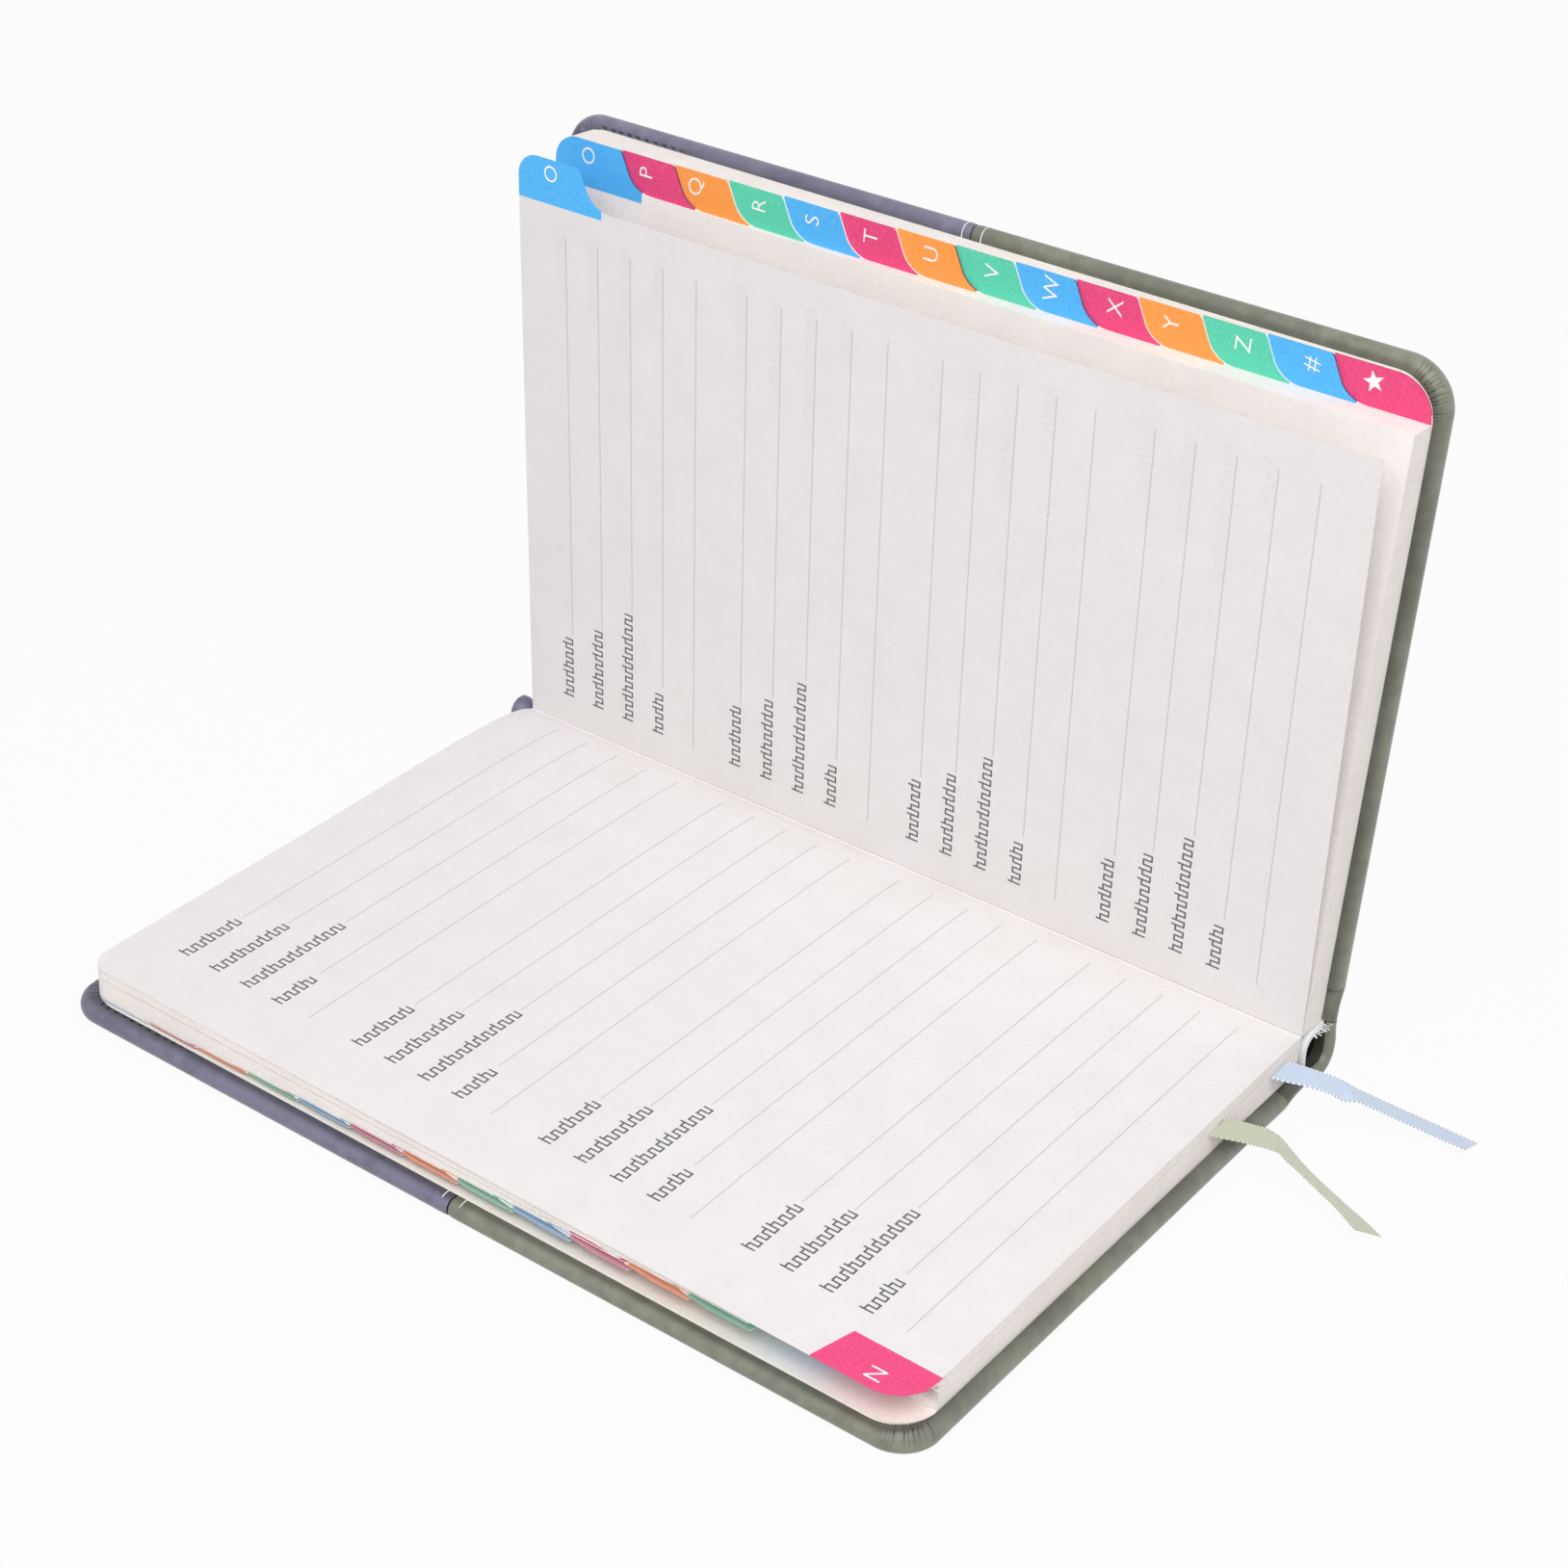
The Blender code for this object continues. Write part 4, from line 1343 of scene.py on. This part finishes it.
def makeMull():
    plan = mullPlan
    random.seed(7)
    profile = [(gutter.x + x * mm, gutter.z + z * mm) for x, z in plan["profile"]]
    first = profile[0]
    cloth = startPlane("mull_cloth", first[0], first[0] + mm, -plan["half"], plan["half"], first[1])
    editMode()
    pick(cloth, "VERT", lambda co: co.x > first[0] + tiny)
    bpy.ops.mesh.delete(type="VERT")
    pick(cloth, "VERT", lambda co: True)
    for old, new in zip(profile, profile[1:]):
        bpy.ops.mesh.extrude_region_move(
            TRANSFORM_OT_translate={"value": (new[0] - old[0], 0, new[1] - old[1])})
    bpy.ops.mesh.select_all(action="SELECT")
    bpy.ops.mesh.subdivide(number_cuts=2)
    objectMode()
    useModifier(cloth, "SOLIDIFY", thickness=plan["thick"], offset=0)
    smooth(cloth, 60)
    finishPiece(cloth, finishes["mull"])
    routes = []
    for i in range(plan["threads"]):
        spot = (plan["frayFrom"] + (1 - plan["frayFrom"]) * i / (plan["threads"] - 1)) * (len(profile) - 1)
        before = min(int(spot), len(profile) - 2)
        share = spot - before
        x = profile[before][0] * (1 - share) + profile[before + 1][0] * share
        z = profile[before][1] * (1 - share) + profile[before + 1][1] * share
        for end in (-1, 1):
            long = random.uniform(*plan["long"])
            bend = random.uniform(-plan["bend"], plan["bend"])
            drop = random.uniform(-plan["drop"], plan["drop"])
            y = end * plan["half"]
            routes.append([(x, y - end * mm, z), (x + bend * 0.3, y + end * long * 0.5, z + drop * 0.3),
                           (x + bend, y + end * long, z + drop)])
    for end in (-1, 1):
        for loose in plan["loose"]:
            route = []
            for place, (turn, reach) in enumerate(loose):
                turn = book["backTurn"] * turn
                route.append((gutter.x + reach * mm * math.sin(turn), end * (plan["half"] - (1 + place) * mm),
                              gutter.z - reach * mm * math.cos(turn)))
            routes.append([tuple(point) for point in smoothRoute([Vector(spot) for spot in route], 6)])
    fray = makeThread("mull_fray", routes, plan["radius"], finishes["mull"])
    cloth = joinPieces("mull_cloth", [cloth, fray])
    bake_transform(cloth)


makeMull()
print("mull lining made")


# satin ribbons: the part held between two sections, and the free tail

ribbonPlan = {
    "wide": 5.5 * mm,
    "thick": 0.14 * mm,
    "about": 44 * mm,          # length of the free tail, only for the number of rows
    "pace": 0.45 * mm,         # one row of the mesh, and half a picot loop
    "heldRows": 90,
    "picot": 0.1 * mm,
    "columns": 8,
    "slit": 7.4 * mm,          # the ribbon leaves the block slantwise, so its first row is wider
    "leaves": 0.2,             # share of the length that this takes
    "slantFrom": 0.8,          # the cut end leans over the rest of the length
    "depth": 2.82 * mm,
    "tail": 104 * mm,
    "headInset": 6 * mm,
    "steps": 8,
}
# route: across, out and down in millimetres from where the ribbon leaves the block
# turn: degrees, by share of the length
ribbons = {
    "blue": {
        "head": 4.5 * mm, "exit": 9.6 * mm, "finish": "blueSatin", "slot": "blue_satin",
        "route": [(0.2, 0.4, 0.0), (1.4, 3.4, 0.3), (3.0, 6.0, 0.9), (7.3, 11.9, 3.4), (11.7, 20.1, 6.8),
                  (14.5, 29.0, 9.1), (15.4, 37.8, 9.9)],
        "turn": [(0.0, -6), (0.12, -9), (0.2, -11), (0.27, -11), (0.43, 5), (0.55, 7.5), (0.7, 9.5), (1.0, 12)],
        "slant": 0.2,
        "fold": (0.335, 0.065, 0.8 * mm),       # where the crease is, half its length, and how deep
    },
    "green": {
        "head": 12.5 * mm, "exit": 35 * mm, "finish": "greenSatin", "slot": "sage_satin",
        "route": [(0.3, 0.4, 0.0), (2.2, 2.8, 0.7), (5.6, 5.6, 2.4), (8.9, 9.4, 4.4), (8.3, 14.3, 6.6),
                  (6.0, 22.3, 8.2), (3.7, 29.0, 9.0), (0.8, 34.7, 9.15)],
        "turn": [(0.0, -6), (0.15, -16), (0.26, -14), (0.4, 24), (0.55, 29), (0.75, 28), (1.0, 20)],
        "slant": 0.35,
        "fold": (0.34, 0.06, 0.4 * mm),
    },
}


def evenRoute(route, count):
    # the same line, in equal paces
    lengths = [0.0]
    for a, b in zip(route, route[1:]):
        lengths.append(lengths[-1] + (b - a).length)
    even = []
    spot = 0
    for i in range(count + 1):
        goal = lengths[-1] * i / count
        while spot < len(lengths) - 2 and lengths[spot + 1] < goal:
            spot += 1
        share = (goal - lengths[spot]) / (lengths[spot + 1] - lengths[spot])
        even.append(route[spot].lerp(route[spot + 1], min(share, 1)))
    return even, lengths[-1]


def readTurn(table, share):
    for (a, low), (b, high) in zip(table, table[1:]):
        if share <= b:
            return math.radians(low + (high - low) * ease((share - a) / (b - a)))
    return 0.0


def layRibbon(name, line, turns, slant, fold, finish):
    plan = ribbonPlan
    rows = len(line) - 1
    ribbon = startGrid(name, plan["columns"], rows)
    for v in ribbon.data.vertices:
        across = v.co.x * 2
        row = round((v.co.y + 0.5) * rows)
        share = row / rows
        ahead = (line[min(row + 1, rows)] - line[max(row - 1, 0)]).normalized()
        flat = ahead.cross(Vector((0, 0, 1))).normalized()
        up = flat.cross(ahead).normalized()
        turn = readTurn(turns, share)
        wide = flat * math.cos(turn) + up * math.sin(turn)
        if slant:
            # square to the block's tail edge where it comes out
            slit = Vector((-plan["slit"] / plan["wide"], 0, 0))
            wide = wide.lerp(slit, 1 - ease(share / plan["leaves"]))
        reach = across * plan["wide"] / 2
        if abs(across) > 0.99:
            reach += math.copysign(plan["picot"] * (0.5 if row % 2 else -0.5), across)
        lean = slant * reach * max(0.0, (share - plan["slantFrom"]) / (1 - plan["slantFrom"]))
        v.co = line[row] + wide * reach - ahead * lean
        if fold:
            # a crease that runs out to nothing at the far edge
            at, half, deep = fold
            full = (across + 1) / 2
            spread = max(half * full, 0.001)
            v.co -= up * deep * max(0.0, 1 - abs(share - at) / spread) * full
    ribbon.data.update()
    useModifier(ribbon, "SOLIDIFY", thickness=plan["thick"], offset=0)
    smooth(ribbon, 50)
    return finishPiece(ribbon, finish)


for name, own in ribbons.items():
    plan = ribbonPlan
    leave = gutter + Vector((-own["exit"], -plan["tail"], -plan["depth"]))
    points = [leave + Vector((across, -out, -down)) * mm for across, out, down in own["route"]]
    route = smoothRoute(points, plan["steps"])
    line, long = evenRoute(route, round(plan["about"] / plan["pace"]))
    satin = finishes[own["finish"]]
    tail = layRibbon("ribbon_" + name + "_free_end", line, own["turn"], own["slant"], own["fold"], satin)
    standFor(tail, "ribbon_" + name + "_tail", "front_block")
    print("ribbon", name, "free length", round(long / mm, 1), "mm")
    top = gutter + Vector((-own["head"], plan["tail"] - plan["headInset"], -plan["depth"]))
    held, _ = evenRoute([top, leave + Vector((0, 0.1 * mm, 0))], plan["heldRows"])
    strip = layRibbon("ribbon_" + name + "_held_end", held, [(0.0, 0), (1.0, 0)], 0, None, satin)
    settle(strip)
    standFor(strip, "ribbon_" + name + "_held", "front_block")
    press(strip)
print("ribbons laid")


# CAD pieces that keep their own shape

kept = {
    "front_board": "board", "back_board": "board", "front_padding": "foam", "back_padding": "foam",
    "front_spine_lining": "mull", "back_spine_lining": "mull",
}
for node, finish in kept.items():
    finishPiece(nodes[node], finishes[finish])


# floor, backdrop and soft studio light

studio = {
    "floorSize": 80.0,
    "floorDrop": 0.2 * mm,
    "floor": "d6d6d6",
    "white": 0.94,             # share of plain white in the floor that is seen; the rest keeps the shadow
    "sky": 0.5,
    "lamps": [
        # place, aim, size, power
        (Vector((-0.3, -0.7, 1.08)), Vector((0.05, 0, 0.05)), 0.9, 4.3),
        (Vector((-0.83, -0.35, 0.96)), Vector((0.05, 0, 0.07)), 0.9, 10.2),
    ],
}


def seenRay(tree):
    # 1 for rays that show the background: straight, mirrored or let through
    ray = addNode(tree, "ShaderNodeLightPath").node.outputs
    seen = addNode(tree, "ShaderNodeMath", {0: ray["Is Camera Ray"], 1: ray["Is Glossy Ray"]}, operation="MAXIMUM")
    return addNode(tree, "ShaderNodeMath", {0: seen, 1: ray["Is Transmission Ray"]}, operation="MAXIMUM")


def makeStudio(plan):
    half = plan["floorSize"] / 2
    floor = startPlane("floor", -half, half, -half, half, -plan["floorDrop"])
    made = bpy.data.materials.new("paleStudioFloor")
    made.use_nodes = True
    tree = made.node_tree
    tree.nodes.clear()
    matte = addNode(tree, "ShaderNodeBsdfDiffuse", {"Color": hexLinear(plan["floor"])})
    white = addNode(tree, "ShaderNodeEmission", {"Color": (1, 1, 1, 1), "Strength": 1.0})
    share = addNode(tree, "ShaderNodeMath", {0: seenRay(tree), 1: plan["white"]}, operation="MULTIPLY")
    mix = addNode(tree, "ShaderNodeMixShader", {"Fac": share, 1: matte, 2: white})
    addNode(tree, "ShaderNodeOutputMaterial", {"Surface": mix})
    finishPiece(floor, made)

    world = bpy.data.worlds.new("studioSky")
    bpy.context.scene.world = world
    world.use_nodes = True
    tree = world.node_tree
    tree.nodes.clear()
    level = addNode(tree, "ShaderNodeMapRange", {"Value": seenRay(tree), "To Min": plan["sky"], "To Max": 1.0})
    sky = addNode(tree, "ShaderNodeBackground", {"Color": (1, 1, 1, 1), "Strength": level})
    addNode(tree, "ShaderNodeOutputWorld", {"Surface": sky})

    for place, aim, size, power in plan["lamps"]:
        deselect()
        bpy.ops.object.light_add(type="AREA", location=place)
        lamp = bpy.context.object
        lamp.data.size = size
        lamp.data.energy = power
        lamp.rotation_euler = (aim - place).to_track_quat("-Z", "Y").to_euler()


makeStudio(studio)
bpy.context.scene.view_settings.view_transform = "Standard"
print("studio lit")
